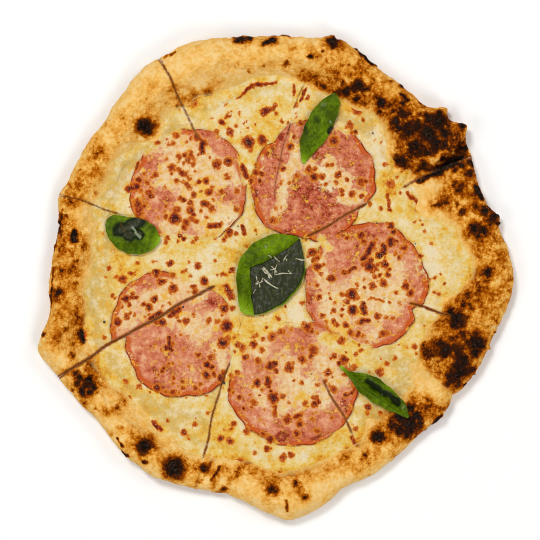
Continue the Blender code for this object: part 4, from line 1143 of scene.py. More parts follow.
def cheese_slice(piece):
    """One slice's melted skin, laid on its dough and bedded in it."""
    across = np.linspace(0, 1, CHEESE_COLUMNS + 1)
    broad_reach = slice_reach(piece, across, BROAD_SWELLS)
    end = broad_reach - cream_width(*slice_place(piece, across, broad_reach)) + CREAM_BEYOND
    rows = [slice_place(piece, across, TIP_RADIUS + (end - TIP_RADIUS) * share)
            for share in np.linspace(0, 1, CHEESE_ROWS + 1)]
    x, y = np.array(rows).transpose(1, 0, 2)
    top = np.array([x, y, melt_top(x, y)])
    skin = laid_grid(f"melted_cheese_{piece + 1}", bedded(top, CHEESE_BED))
    close_below(skin)
    x, y, _ = vertices_of(skin)
    painted(skin, veil=np.ones_like(x), thick=np.ones_like(x), **melt_fields(x, y))
    return skin


# From thick white cheese over cream to oily gold and toasted orange.
MELTED = (
    (0.00, (0.80, 0.66, 0.41)), (0.22, (0.78, 0.60, 0.27)), (0.42, (0.77, 0.53, 0.145)),
    (0.60, (0.76, 0.46, 0.060)), (0.80, (0.68, 0.30, 0.016)), (1.00, (0.48, 0.13, 0.003)),
)
CREAM_OLIVE = (0.57, 0.37, 0.095)
CREAM_YELLOW = (0.78, 0.40, 0.035)
# Painted highlight: pale flecks that stand for small glints of light on the cheese and ham.
PAINTED_GLINT_FLECK = (0.84, 0.70, 0.50)
# From orange skin to a burnt dot, by how far a blister browned.
BLISTERED = (
    (0.00, (0.77, 0.35, 0.028)), (0.13, (0.70, 0.235, 0.010)), (0.25, (0.58, 0.145, 0.004)),
    (0.40, (0.43, 0.065, 0.002)), (0.56, (0.28, 0.028, 0.002)), (0.74, (0.14, 0.011, 0.003)),
    (1.00, (0.048, 0.006, 0.005)),
)
OIL_GLINT = (0.84, 0.52, 0.20)
# From pale to deep red meat.
COOKED_HAM = (
    (0.00, (0.78, 0.45, 0.26)), (0.25, (0.72, 0.31, 0.155)), (0.50, (0.63, 0.195, 0.095)),
    (0.72, (0.52, 0.115, 0.050)), (0.88, (0.38, 0.052, 0.018)), (1.00, (0.23, 0.022, 0.006)),
)
HAM_RIM = (0.56, 0.090, 0.008)
HAM_RIM_LINE = (0.27, 0.028, 0.004)
VEILED = ((0.30, (0.81, 0.63, 0.38)), (0.46, (0.79, 0.53, 0.265)), (0.62, (0.73, 0.38, 0.145)))
VEILED_YELLOW = (0.80, 0.46, 0.055)
OILY_ROUGHNESS = (0.24, 0.46)


def melted_looks(name):
    """Melted cheese, and the ham that shows where the cheese is thin or missing."""
    looks = Looks(name, 0.4, Specular_IOR_Level=0.10)
    oil = looks.noise(0.8, 1.0, 0.5)
    fine = looks.noise(1.0, 2.0, 0.65)
    speck = looks.noise(2.4, 3.0, 0.62)
    curds = looks.noise(3.6, 3.0, 0.6)
    blotch = looks.noise(8.0, 3.0, 0.6)
    yellow = looks.field("yellow")
    oily = looks.uneven(0.345, (fine, 0.3), (speck, 0.8), (curds, 0.8), (blotch, 1.5))
    oily = looks.sum(oily, looks.times(yellow, 0.42))
    oily = looks.sum(oily, looks.times(looks.field("toast"), 0.52))
    oily = looks.sum(oily, looks.times(looks.field("white"), -0.38))
    cream = looks.ramp(oily, MELTED)
    olive = looks.uneven(looks.field("olive"), (speck, 0.9), (blotch, 1.2))
    cream = looks.mix(looks.step(olive, 0.3, 1.0, 0, 0.72), cream, CREAM_OLIVE)
    redness = looks.uneven(0.52, (fine, 0.4), (curds, 1.5), (blotch, 1.6))
    redness = looks.sum(redness, looks.times(looks.field("deep"), 0.6))
    meat = looks.ramp(redness, COOKED_HAM)
    veil = looks.uneven(looks.field("veil"), (speck, 1.3), (curds, 1.3), (blotch, 1.2))
    gold = looks.uneven(looks.times(yellow, 0.5), (speck, 1.0), (curds, 1.2), (blotch, 1.4))
    gold = looks.step(gold, 0.08, 0.42, 0, 0.9)
    thin = looks.sum(curds, looks.times(veil, -0.05))
    veiled = looks.mix(gold, looks.ramp(thin, VEILED), VEILED_YELLOW)
    colour = looks.mix(looks.step(veil, 0.25, 0.65), meat, veiled)
    banded = looks.step(looks.rough(looks.field("band"), (speck, 2.2)), 0.15, 0.7, 0, 0.95)
    colour = looks.mix(banded, colour, HAM_RIM)
    thick = looks.sum(looks.field("thick"), looks.times(looks.field("white"), 0.8))
    colour = looks.mix(looks.step(looks.uneven(thick, (speck, 1.3)), 0.3, 0.75), colour, cream)
    lined = looks.step(looks.rough(looks.field("rim_line"), (speck, 2.5)), 0.2, 0.7)
    colour = looks.mix(lined, colour, HAM_RIM_LINE)
    freckle = looks.uneven(looks.noise(2.6, 2.0, 0.6), (fine, 0.4), (blotch, 0.7))
    colour = looks.mix(looks.step(freckle, 0.60, 0.74, 0, 0.85), colour, CREAM_YELLOW)
    # Painted highlights: pale flecks all over, for small glints of light.
    painted_glint_fleck = looks.step(looks.noise(1.7, 2.0, 0.6), 0.62, 0.74, 0, 0.6)
    colour = looks.mix(painted_glint_fleck, colour, PAINTED_GLINT_FLECK)
    blister = looks.field("blister")
    halo = looks.rough(looks.sum(blister, 0.5, "POWER"), (fine, 0.8), (speck, 2.4), (curds, 2.0))
    colour = looks.mix(looks.step(halo, 0.14, 0.9, 0, 0.9), colour, CREAM_YELLOW)
    browned = looks.rough(blister, (fine, 1.2), (speck, 2.0), (blotch, 1.5))
    colour = looks.mix(looks.step(browned, 0.09, 0.26), colour, looks.ramp(browned, BLISTERED))
    glint = looks.step(looks.noise(0.9, 1.0), 0.63, 0.72)
    glint = looks.times(glint, looks.step(blister, 0.15, 0.4, 0, 0.6))
    colour = looks.mix(glint, colour, OIL_GLINT)
    # Painted shade: a brown line along each open cut, for the shadow in its crevice.
    cut_edge = looks.step(looks.rough(looks.field("wear"), (speck, 2.2)), 0.1, 0.65)
    colour = looks.mix(cut_edge, colour, CUT_SHADE_BROWN)
    looks.relief((oil, 0.45), (fine, 0.35), (speck, 0.8))
    return looks.finish(colour, looks.step(fine, 0.3, 0.7, *OILY_ROUGHNESS))


cheese = melted_looks("melted_cheese")
for number in range(len(CUTS)):
    skin_of_cheese = cheese_slice(number)
    skin_of_cheese.data.materials.append(cheese)
    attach(skin_of_cheese, "root")
    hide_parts(f"cheese_{number + 1}")

# ---------------------------------------------------------------- the rounds of ham
# Thin rounds of cooked ham were laid on the cream, with cheese strewn over them. Their edges
# crisped to a dark line, the cheese melted to a thin veil, and the cuts part most of them.

HAM_STEP = 0.9          # how far the ham's top stands over the cheese beside it
HAM_SUNK = 0.6
HAM_CURL = (0.5, 0.6, 4.5)      # of a round's edge: its height, how it varies, and its width
HAM_GRAIN = (0.22, 3.4, 3, 73)
VEIL_RISE = 0.35
EDGE_DROP = (0.35, 0.7)         # at a round's very edge: how far, and within what width
BURIED_DROP = 0.5
HAM_RINGS = 60
HAM_SPOKES = 230
HAM_WALL_RINGS = 3
HUB_SHARE = 0.004       # where the rings begin
RING_CROWDING = 0.8     # under 1, the rings stand closer towards the edge
HUB_GRID = 90           # places to a side that find the middle of a slice's share
HUB_GRID_REACH = 1.25
SPOKE_REACH = 2.6       # of the round's radius
SPOKE_ROUNDS = 24       # halvings that find each spoke's end

# Each round: middle, radius, swells of its outline, extra lift, and the slices it lies on.
HAM_ROUNDS = {
    "upper_left": ((-55.2, 56.5), 37.2,
                   ((200, 12, 2.2), (125, 18, -1), (5, 25, -1.5)),
                   0.0, (2, 3, 4)),
    "top": ((24.1, 61.6), 37.9,
            ((200, 20, 4.2), (228, 12, 3.5), (325, 8, -2.5), (270, 10, 2.5), (348, 8, 1.2), (138, 8, -3)),
            0.35, (8, 1, 2)),
    "right": ((57.8, -7.0), 38.2,
              ((80, 25, 2.6), (333, 5, -6), (275, 20, 1.2), (185, 25, 2.2), (210, 10, 1.5)),
              0.1, (8, 7)),
    "lower_left": ((-67.3, -37.5), 38.3,
                   ((115, 25, 2.6), (150, 15, 1.5)),
                   0.15, (4,)),
    "lower_left_turned": ((-59.1, -41.3), 36.8,
                          ((225, 15, 1.2), (190, 14, 0.8)),
                          0.0, (5,)),
    "bottom": ((9.5, -69.2), 39.5,
               ((190, 15, 1.6), (315, 15, 2.2), (345, 15, 2.2), (60, 12, 2)),
               0.0, (6, 7)),
}

# Ripples of an outline: how many go round, their height, and the bearing they start from,
# with what each letter of the round's name adds to it.
RIPPLES = ((5, 0.55, 0, 20), (11, 0.45, 50, 70), (23, 0.3, 0, 110))

# Where cheese veils the ham, and where the ham shows bare within a veil.
VEILS = (
    (-58.4, 69.9, 17), (-52, 46, 16), (-33, 63.5, 9), (-39.4, 28.6, 12), (-68, 31.8, 8), (-64.8, 85.7, 9),
    (-82, 85, 7, 0.8), (-70, 60, 9, 0.9), (-28, 40, 7, 0.9), (-45, 75, 8, 0.8), (-22, 60, 6, 0.8),
    (-90, 50, 4, 0.6), (14.6, 79.4, 5, 62, 4.5), (5, 60, 2, 44, 4), (21, 68, 43.2, 60.3, 6.5),
    (33.7, 69.9, 5), (47.6, 50.8, 56, 47.6, 5.5), (41.3, 47.6, 4, 0.9), (-12, 65.4, 4.5, 0.85),
    (-2.5, 40, 3.5, 0.7), (-9.5, 74.3, 1.4), (36.8, 94, 3.5, 0.6), (10, 88, 4, 0.5), (27, 25, 2, 0.4),
    (46.4, -15.9, 15), (62.2, -6.3, 14), (68.6, -19, 11), (30.5, -3.2, 27, 9.5, 5), (76.8, 6.3, 9, 0.72),
    (33.7, -22, 8), (62, -38, 8, 0.75), (65.4, 10.8, 5), (78, -9.5, 8, 0.85), (40, -36, 9, 0.9),
    (30, 18, 5, 0.7), (-80.6, -15.9, 14, 0.85), (-58.4, -3.2, 11), (-96.5, -28.6, 8, 0.9), (-49, -9.5, 8),
    (-95, -12, 7, 0.8), (-70, -14, 8, 0.85), (-55.2, -31.8, 9), (-39.4, -28.6, 7),
    (-36.2, -44.5, -33, -57, 5, 0.85), (-52, -44.5, 5, 0.5), (-55.2, -61.6, 7, 0.42),
    (-40.6, -69.9, 4, 0.6), (-67, -27, 5, 0.8), (-47, -36, 6, 0.7), (14.6, -73, 14), (-10.8, -44.5, 9),
    (30.5, -57.2, 40, -66.7, 7), (-9.5, -82.6, -12, -73, 3.8, 0.85), (8, -62, 9), (30.5, -79.4, 6),
    (36.8, -44.5, 7, 0.65), (-18, -66, 6, 0.4), (2, -84.5, 6, 0.9), (27, -45, 6, 0.6), (6, -48, 6, 0.6),
    (-20, -48, 4, 0.5), (-98, -45, 7, 0.8), (-89, 66, 6, 0.7),
)
BARE_HAM = (
    (-80.6, 71.1, 5.5, 0.95), (-75.6, 44.5, 8.5, 0.95), (-69.9, 50.8, 4.5), (-54, 92, -47, 88, 3.5, 0.95),
    (-39.4, 83.8, -27.9, 79.4, 4.2, 0.95), (-31.8, 50.8, 5.2, 0.95), (-19, 45.7, 5.5, 0.95),
    (-15.9, 31.8, 4, 0.8), (-85, 62, 3, 0.8), (40, 8.3, 7.5, 0.95), (21.6, -15, 4.5, 0.95),
    (73.7, -35, 5.5, 0.9), (86.4, -3.2, 4.5, 0.6), (8.3, -41.3, 7.5, 0.97), (17.8, -61.6, 3.8, 0.7),
    (-87, -6.3, -80.6, -5, 4, 0.9), (-40, -16, 5, 0.85), (-75, -45, 10, 0.9), (84, 14, 4, 0.7),
)

# Deep red and dusky places of the meat.
DEEP_HAM = (
    (-9.5, 78.1, 3.2, 87.6, 3.2, 0.95), (-56.5, 95.3, -45.7, 91.4, 2.4, 0.85),
    (5, 27.3, 14.6, 24.1, 2.2, 0.75), (28.6, 54, 35.6, 50.2, 2.2, 0.75), (43, 27, 56, 25.4, 2.6, 0.45),
    (-59.7, -44.5, 3.2, 0.5), (-80.6, -68.6, -71, -74.3, 2.6, 0.65), (-9.5, -101, -1.3, -105.4, 2.6, 0.75),
    (14.6, -36.2, 21, -40, 2, 0.8), (19.7, -12.7, 22.9, -23.5, 2.6, 0.55), (-15, 56, -13, 42, 2.2, 0.5),
    (-46, -17, -40, -20, 3, 0.6), (-80, 72, -74, 66, 3, 0.35), (-70, 51, 3.5, 0.35), (-33, 52, 3.5, 0.45),
    (12, -101, 22, -104, 3, 0.4), (-4, -104, 24, -102, 4, 0.7), (51, 80, 58, 66, 6, 0.22),
    (26, 60, 30, 0.55), (-82, -58, -74, -60, 3, 0.35), (42, -78, 45, -90, 1.6, 0.6),
)

# Where a round's edge lies buried under cheese.
BURIED = (
    (-84, 80, -74, 88.5, 4.5), (-74, 88.5, -64, 93, 4), (-22, 72, -19, 60, 3), (-70, 22, -28, 18, 6),
    (-26, 22, -20, 34, 4), (-92, 30, -80, 24, 5), (40, 96, 44, 92, 3), (28, 23, 33, 17, 3),
    (20, 16, 20, 8, 3), (56, -48, 36, -42, 5), (30, -40, 36, -44, 5), (-62, 2, -34, -4, 5),
    (-28, -8, -26, -60, 4), (-24, -44, 2, -30, 4.5), (10, -29, 18, -30, 3), (38, -42, 50, -56, 5),
)


def ham_inward(name, x, y):
    """Distance in from a round's rippled outline."""
    (centre_x, centre_y), radius, swells, _, _ = HAM_ROUNDS[name]
    bearing = bearing_of(x - centre_x, y - centre_y)
    ripple = 0.0
    for waves, height, start, letter_turn in RIPPLES:
        start_at = start + letter_turn * len(name)
        ripple = ripple + height * np.sin(np.radians(bearing * waves + start_at))
    return swollen(radius, swells, bearing) + ripple - np.hypot(x - centre_x, y - centre_y)


def inside_slice(piece, x, y):
    """Distance in from the nearer of a slice's two cut faces."""
    run = np.hypot(x - CUT_MIDDLE[0], y - CUT_MIDDLE[1])
    first = off_cut(piece, x, y) - SHUT_GAP - OPEN_GAP * cut_open(piece, run)
    last = -off_cut(piece + 1, x, y) - SHUT_GAP - OPEN_GAP * cut_open(piece + 1, run)
    return np.minimum(first, last)


def ham_veil(x, y):
    """How far cheese veils the ham: 0 where it is bare, 1 where it is buried."""
    veil = mark_field(*wobbled(x, y, 1.6, 7.0, 75), VEILS, stacked=True)
    bare = mark_field(*wobbled(x, y, 1.6, 7.0, 77), BARE_HAM, stacked=True)
    return np.maximum(veil * (1 - bare), mark_field(x, y, BURIED))


def spokes_of(name, piece):
    """x and y of rings about the middle of one slice's share of a round, out to its edge."""
    (centre_x, centre_y), radius, *_ = HAM_ROUNDS[name]
    steps = np.linspace(-HUB_GRID_REACH, HUB_GRID_REACH, HUB_GRID) * radius
    grid_x, grid_y = np.meshgrid(steps, steps)
    grid_x, grid_y = grid_x + centre_x, grid_y + centre_y

    def room(x, y):
        return np.minimum(ham_inward(name, x, y), inside_slice(piece, x, y))

    inside = room(grid_x, grid_y) > 0
    hub_x, hub_y = grid_x[inside].mean(), grid_y[inside].mean()
    turn = np.linspace(0, 2 * math.pi, HAM_SPOKES + 1)
    near, far = np.zeros_like(turn), np.full_like(turn, SPOKE_REACH * radius)
    for _ in range(SPOKE_ROUNDS):
        half = (near + far) / 2
        free = room(hub_x + half * np.cos(turn), hub_y + half * np.sin(turn)) > 0
        near, far = np.where(free, half, near), np.where(free, far, half)
    shares = np.linspace(HUB_SHARE, 1, HAM_RINGS) ** RING_CROWDING
    return hub_x + np.outer(shares, near * np.cos(turn)), hub_y + np.outer(shares, near * np.sin(turn))


def ham_places(name, piece):
    """One slice's share of a round, draped on the cheese, with a wall down its edge."""
    x, y = spokes_of(name, piece)
    lift = HAM_ROUNDS[name][3]
    rim = ham_inward(name, x, y)
    buried = mark_field(x, y, BURIED)
    flat = np.zeros_like(x)
    curl_height, curl_varies, curl_width = HAM_CURL
    curl = curl_height + curl_varies * grain(x, y, flat, 12.0, 1, 71)
    curl = curl * (1 - ease(rim, 0.0, curl_width))
    veil = VEIL_RISE * ease(ham_veil(x, y), 0.3, 0.7)
    sheet = HAM_STEP + lift + curl + layered(x, y, flat, (HAM_GRAIN,)) + veil
    edge_drop, edge_width = EDGE_DROP
    sheet -= edge_drop * (1 - ease(rim, 0.0, edge_width))
    z = melt_top(x, y) + sheet * (1 - buried) - BURIED_DROP * buried * (1 - ease(rim, 0, 3))
    low = melt_top(x[-1], y[-1]) - HAM_SUNK
    wall = [z[-1] + (low - z[-1]) * step / HAM_WALL_RINGS for step in range(1, HAM_WALL_RINGS + 1)]
    x, y = (np.pad(part, ((0, HAM_WALL_RINGS), (0, 0)), mode="edge") for part in (x, y))
    places = np.array([x, y, np.vstack([z, wall])])
    places[:, :, -1] = places[:, :, 0]
    return places


def ham_share(name, piece):
    """The piece of a round that lies on one slice, with its crisp rim."""
    sheet = laid_grid(f"cooked_ham_{name}_{piece + 1}", ham_places(name, piece))
    close_below(sheet, merge=2e-6, sharp=55)
    x, y, _ = vertices_of(sheet)
    rim = ham_inward(name, x, y)
    shown = 1 - mark_field(x, y, BURIED)
    broken = ease(grain(x, y, np.zeros_like(x), 11.0, 2, 81), -0.9, 0.4)
    band = (1 - ease(rim, 0.8 + broken, 3.0 + 2.6 * broken)) * shown * (0.25 + 0.75 * broken)
    line = (1 - ease(rim, 0.1, 0.7 + 0.9 * broken)) * shown * (0.45 + 0.55 * broken)
    painted(sheet, veil=ham_veil(x, y), thick=1 - shown, band=band, rim_line=line,
            deep=mark_field(*wobbled(x, y, 1.4, 4.0, 83), DEEP_HAM), **melt_fields(x, y))
    return sheet


ham = melted_looks("veiled_ham")
for round_name, (_, _, _, _, slices) in HAM_ROUNDS.items():
    for number in slices:
        share = ham_share(round_name, number - 1)
        share.data.materials.append(ham)
        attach(share, "root")
        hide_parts(f"ham_{round_name.removesuffix('_turned')}_{number}")

# ---------------------------------------------------------------- the basil
# Four fresh basil leaves were laid on top. Each is one thin blade that swells between its
# veins, and dulls where oil and steam soaked it.

LEAF_ROWS = 90
LEAF_COLUMNS = 60
LEAF_BLADE = 0.45
RESTING = 1.3           # clear height over the cheese, past the thickness of the ham
CORNER_WINDOW = 0.035   # share of a leaf's length that rounds the corners of its outline
FRILL = (0.25, 31.0)    # of a leaf's margin: its depth, and how fast it turns along the leaf
VEIN_PAIRS = 7
VEIN_SLANT = 0.30
VEIN_WIDTH = 0.35
RIB_WIDTH = 0.5
RIB_DEPTH = 0.4
SWELL_RISE = 0.34       # between two veins
ARCH_FALL = 0.75        # how much of the arch is gone at the leaf's sides
SPINE_WINDOW = 25       # rows over which the midrib evens out what lies under it
LEAF_LUMPS = ((0.5, 9.0, 2, 91), (0.12, 2.2, 2, 93))

# Each leaf: stem, tip, sideways bend, then shares along it with the half widths on its left
# and its right, the height of its arch, its lift, and the ridges and hollows in it.
LEAVES = {
    "left": ((-74.5, 22), (-108.5, 33.5), 1.0,
             (0, 0.06, 0.15, 0.3, 0.45, 0.6, 0.75, 0.88, 0.96, 1),
             (0.7, 6.5, 9.5, 12.2, 13.2, 13, 11.4, 8, 5, 0.6),
             (0.7, 3.5, 7.5, 9.6, 10, 9, 7.6, 7, 5, 0.6),
             2.2, 0.6,
             ((-99, 28, -88, 30, 3.5, -1.5), (-91.4, 31.1, -87, 22.9, 1.2, 0.8),
              (-98, 22, -88, 21, 2.5, 0.8))),
    "top": ((17, 71), (36.5, 115.5), 1.2,
            (0, 0.06, 0.15, 0.3, 0.45, 0.6, 0.75, 0.88, 0.96, 1),
            (0.7, 2.5, 5.2, 7.2, 7.6, 7.4, 6.4, 4, 1.8, 0.3),
            (0.7, 1.2, 2.8, 6.3, 8.5, 9, 8.1, 7, 4, 0.3),
            2.2, 1.0,
            ((30, 108, 3.5, 0.8), (33.7, 95, 2.5, -0.8), (24, 99, 3, 0.7))),
    "centre": ((-22, -23.5), (13.5, 23.5), 0.0,
               (0, 0.04, 0.12, 0.24, 0.36, 0.5, 0.64, 0.76, 0.87, 0.95, 1),
               (0.8, 4, 9, 15.2, 20.3, 21.6, 21, 18.4, 14, 8, 0.5),
               (0.8, 7.5, 11, 15.5, 18.6, 19.3, 19, 16.4, 10.6, 4.8, 0.5),
               1.6, 0.8,
               ((-20, 11, 6, 23, 5.5, 2.6), (-21.5, -20, -21, -2, 3.6, 2.2),
                (-23.5, 3, -9.5, 6.6, 1.1, -1.3), (-9.5, 6.6, 12, 21, 1.1, -1.3),
                (-16.5, -2, -14.5, -20, 1.1, -1.0), (-8, -14, -4, 2, 1.6, 0.7),
                (0, -12, 4, 6, 1.5, 0.8), (7, -9, 11, 8, 1.5, 0.7))),
    "lower_right": ((40, -58), (83, -90), -1.2,
                    (0, 0.1, 0.18, 0.33, 0.46, 0.6, 0.76, 0.88, 0.96, 1),
                    (0.7, 1.2, 3.2, 7.8, 9.5, 9.3, 8, 6.2, 3, 0.3),
                    (0.7, 0.8, 1.6, 4.2, 4.6, 4.4, 3, 1.6, 1, 0.3),
                    0.8, 2.0,
                    ((44, -60, 77, -85, 1.4, -2.6), (56, -63, 78, -79, 2.6, 1.6),
                     (50, -70, 72, -84, 1.8, 1.2))),
}

# The crease across the centre leaf, with the strip beside it that stayed green. Oil soaked
# the leaf below the crease and past the strip.
CREASE = ((-23.5, 3.8), (-9.5, 7.6), (-3.8, 10.8), (7.6, 17.8), (14, 23.5))
STRIP = ((-15.5, -27), (-15.9, -19.7), (-17.8, -1.9), (-18.5, 6))
GREEN_MARGIN = (-0.97, -0.88)   # shares across that leaf between which the soaking starts

# Soaked and burnt places of the other leaves, and painted highlights: pale places on the other leaves and on
# the centre leaf.
SOAKED = (
    (-100, 28.6, -88, 33, 4.2), (-95, 25.5, -88, 25, 3.2), (34.2, 92.5, 2.3),
    (58, -67.5, 76.5, -80.5, 2.2, 0.6), (25, 98, 2.5, 0.35), (19, 90, 17.5, 96, 1.5, 0.3),
)
LEAF_HIGHLIGHT_PLACES = (
    (-91.4, 30.5, -87, 22.9, 0.9, 0.9), (-95, 21, 1.4, 0.5), (29.8, 108, 3.2, 0.5), (33.7, 97.2, 1.2, 0.8),
    (59.7, -66, 2.2, 0.45), (54, -66.7, 1.1, 0.6), (66.7, -75.6, 0.9, 0.7), (80, -83.8, 1.8, 0.6),
    (-7.6, 17.8, 1.1, 0.7), (-16, 9, -6, 12, 0.9, 0.4), (0, 22, 6, 24, 1, 0.3),
    (16.5, -2, 15, -8, 0.7, 0.5), (-80, 19.5, 2, 0.4),
)
BURNT_MARKS = (
    (-99.5, 33, -97, 27, 1.2, 0.5), (20, 99, 0.8, 0.5), (24.5, 97, 0.7, 0.5), (82.5, -86, 1, 0.4),
)


def smooth_along(shares, stations, sizes):
    """Sizes between stations, with their corners rounded."""
    spots = []
    for step in (-1, -0.5, 0, 0.5, 1):
        near = np.clip(shares + CORNER_WINDOW * step, 0, 1)
        spots.append(np.interp(near, stations, sizes))
    return np.mean(spots, axis=0)


def centre_soaked(x, y, side):
    """Where the centre leaf is soaked: below its crease and past its green strip and margin."""
    flat = np.zeros_like(x)
    crease_x, crease_y = np.array(CREASE).T
    strip_x, strip_y = np.array(STRIP).T
    below = np.interp(x, crease_x, crease_y) - y + 0.5 * grain(x, y, flat, 3.0, 2, 97)
    past = x - np.interp(y, strip_y, strip_x) + 0.7 * grain(x, y, flat, 3.0, 2, 98)
    inside = ease(side * np.ones_like(x), *GREEN_MARGIN)
    return ease(below, 0.0, 1.2) * ease(past, 0.0, 1.4) * inside


def leaf_blade(name):
    """One leaf: a blade that lies over what is under it, arched, veined and swollen, with its fields."""
    stem, tip, bend, stations, left, right, arch, lift, ridges = LEAVES[name]
    along = np.linspace(0, 1, LEAF_ROWS + 1)[:, None]
    side = np.linspace(-1, 1, LEAF_COLUMNS + 1)[None, :]
    (stem_x, stem_y), (tip_x, tip_y) = stem, tip
    long = math.hypot(tip_x - stem_x, tip_y - stem_y)
    to_x, to_y = (tip_x - stem_x) / long, (tip_y - stem_y) / long
    width = np.where(side > 0, smooth_along(along, stations, left), smooth_along(along, stations, right))
    frill_depth, frill_pace = FRILL
    frill = frill_depth * np.sin(along * frill_pace) * side ** 4
    off = side * width + bend * np.sin(math.pi * along) + frill
    x = stem_x + to_x * long * along - to_y * off
    y = stem_y + to_y * long * along + to_x * off
    flat = np.zeros_like(x)
    slant = VEIN_PAIRS * (along - VEIN_SLANT * np.abs(side)) / (1 - VEIN_SLANT)
    swell = np.abs(np.sin(math.pi * slant)) ** 0.7 * (1 - side ** 4) * np.minimum(width / 6, 1)
    rib = np.exp(-(side * width / RIB_WIDTH) ** 2) * ease(along, 0, 0.05)
    from_vein = ((slant + 0.5) % 1 - 0.5) * long / VEIN_PAIRS
    vein = np.exp(-(from_vein / VEIN_WIDTH) ** 2) * (1 - 0.7 * np.abs(side))
    bed = melt_top(x, y)
    spine = np.pad(bed[:, LEAF_COLUMNS // 2], SPINE_WINDOW // 2, mode="edge")
    spine = np.convolve(spine, np.ones(SPINE_WINDOW) / SPINE_WINDOW, mode="valid")[:, None]
    blade = arch * np.sin(math.pi * along) ** 0.7 * (1 - ARCH_FALL * side ** 2)
    blade = blade + SWELL_RISE * swell - RIB_DEPTH * rib
    blade += layered(x, y, flat, LEAF_LUMPS)
    for *ends, half_width, height in ridges:
        blade += height * mark_field(x, y, ((*ends, half_width),))
    z = np.maximum(spine + lift + RESTING + blade, bed + RESTING)
    sheet = laid_grid(f"basil_leaf_{name}", np.array([x, y, z]))
    soaked = mark_field(*wobbled(x, y, 1.0, 4.0, 95), SOAKED)
    if name == "centre":
        soaked = centre_soaked(x, y, side)
    fields = {
        "soaked": soaked,
        "vein": np.maximum(rib, 0.75 * vein * (1 - rib)),
        "stalk": 1 - ease(along, 0.0, 0.22),
        "pale": mark_field(*wobbled(x, y, 0.6, 2.5, 99), LEAF_HIGHLIGHT_PLACES),
        "scorched": mark_field(x, y, BURNT_MARKS),
        "tone": 0.5 + 0.35 * grain(x, y, flat, 10.0, 2, 101),
    }
    painted(sheet, **{key: np.broadcast_to(values, x.shape).ravel() for key, values in fields.items()})
    bpy.context.view_layer.objects.active = sheet
    thick = sheet.modifiers.new("blade", "SOLIDIFY")
    thick.thickness = LEAF_BLADE * MM
    thick.offset = -1.0
    bpy.ops.object.modifier_apply(modifier=thick.name)
    bpy.ops.object.shade_smooth_by_angle(angle=math.radians(60))
    return sheet


LEAF_GREEN = (0.104, 0.176, 0.001)
LEAF_FRESH = (0.165, 0.275, 0.002)
LEAF_DEEP = (0.046, 0.080, 0.001)
LEAF_SOAKED = (0.028, 0.032, 0.014)
LEAF_SOAKED_PALE = (0.070, 0.074, 0.034)
LEAF_BRUISED = (0.098, 0.094, 0.088)
# painted shade along the crease
LEAF_CREASE_SHADE = (0.008, 0.013, 0.003)
LEAF_VEIN = (0.150, 0.260, 0.012)
LEAF_STALK = (0.24, 0.40, 0.02)
# painted highlight, pale over the green
PAINTED_LEAF_HIGHLIGHT = (0.34, 0.42, 0.26)
LEAF_BURNT = (0.10, 0.05, 0.01)
LEAF_ROUGHNESS = (0.24, 0.42)


def leaf_looks():
    """Green blades with pale veins, and dark streaky skin where oil soaked them."""
    looks = Looks("basil_blade", LEAF_ROUGHNESS[1], Specular_IOR_Level=0.06)
    fine = looks.noise(0.7, 3.0, 0.6)
    speck = looks.noise(2.5, 3.0, 0.6)
    lines = looks.noise(1.6, 4.0, 0.7, stretch=(1.6, 0.35, 1.0), turn=-8)
    tone = looks.uneven(looks.field("tone"), (speck, 1.3), (fine, 0.4))
    colour = looks.mix(looks.step(tone, 0.2, 0.7), LEAF_DEEP, LEAF_GREEN)
    colour = looks.mix(looks.step(tone, 0.6, 1.0), colour, LEAF_FRESH)
    colour = looks.mix(looks.step(looks.field("stalk"), 0.1, 0.9), colour, LEAF_FRESH)
    wet = looks.mix(looks.step(lines, 0.48, 0.64), LEAF_SOAKED, LEAF_SOAKED_PALE)
    wet = looks.mix(looks.step(speck, 0.58, 0.72, 0, 0.5), wet, LEAF_DEEP)
    wet = looks.mix(looks.step(looks.noise(3.4, 3.0, 0.65), 0.52, 0.68, 0, 0.7), wet, LEAF_BRUISED)
    colour = looks.mix(looks.times(looks.step(looks.field("vein"), 0.35, 0.9), 0.5), colour, LEAF_VEIN)
    soaked = looks.uneven(looks.field("soaked"), (fine, 0.3))
    # Painted shade: a near-black edge round the soaked places, for the shadow along the crease.
    colour = looks.mix(looks.step(soaked, 0.05, 0.45), colour, LEAF_CREASE_SHADE)
    colour = looks.mix(looks.step(soaked, 0.5, 1.0), colour, wet)
    colour = looks.mix(looks.step(looks.field("stalk"), 0.75, 1.0), colour, LEAF_STALK)
    # Painted highlights: pale glossy places on the blades.
    pale = looks.step(looks.uneven(looks.field("pale"), (fine, 0.4)), 0.3, 0.8)
    colour = looks.mix(looks.times(pale, 0.6), colour, PAINTED_LEAF_HIGHLIGHT)
    burnt = looks.step(looks.uneven(looks.field("scorched"), (fine, 0.6)), 0.3, 0.7)
    colour = looks.mix(burnt, colour, LEAF_BURNT)
    looks.relief((fine, 0.15), (speck, 0.5))
    return looks.finish(colour, looks.step(fine, 0.3, 0.7, *LEAF_ROUGHNESS))


basil = leaf_looks()
leaf_pieces = {}
for leaf_name in LEAVES:
    leaf = leaf_blade(leaf_name)
    leaf.data.materials.append(basil)
    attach(leaf, "root")
    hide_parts(f"basil_{leaf_name}")
    leaf_pieces[leaf_name] = leaf

# ---------------------------------------------------------------- the shaved cheese
# Short shavings of hard cheese fell on the centre leaf after baking. Each is a thin curl
# with rough edges, paler than the melted cheese.

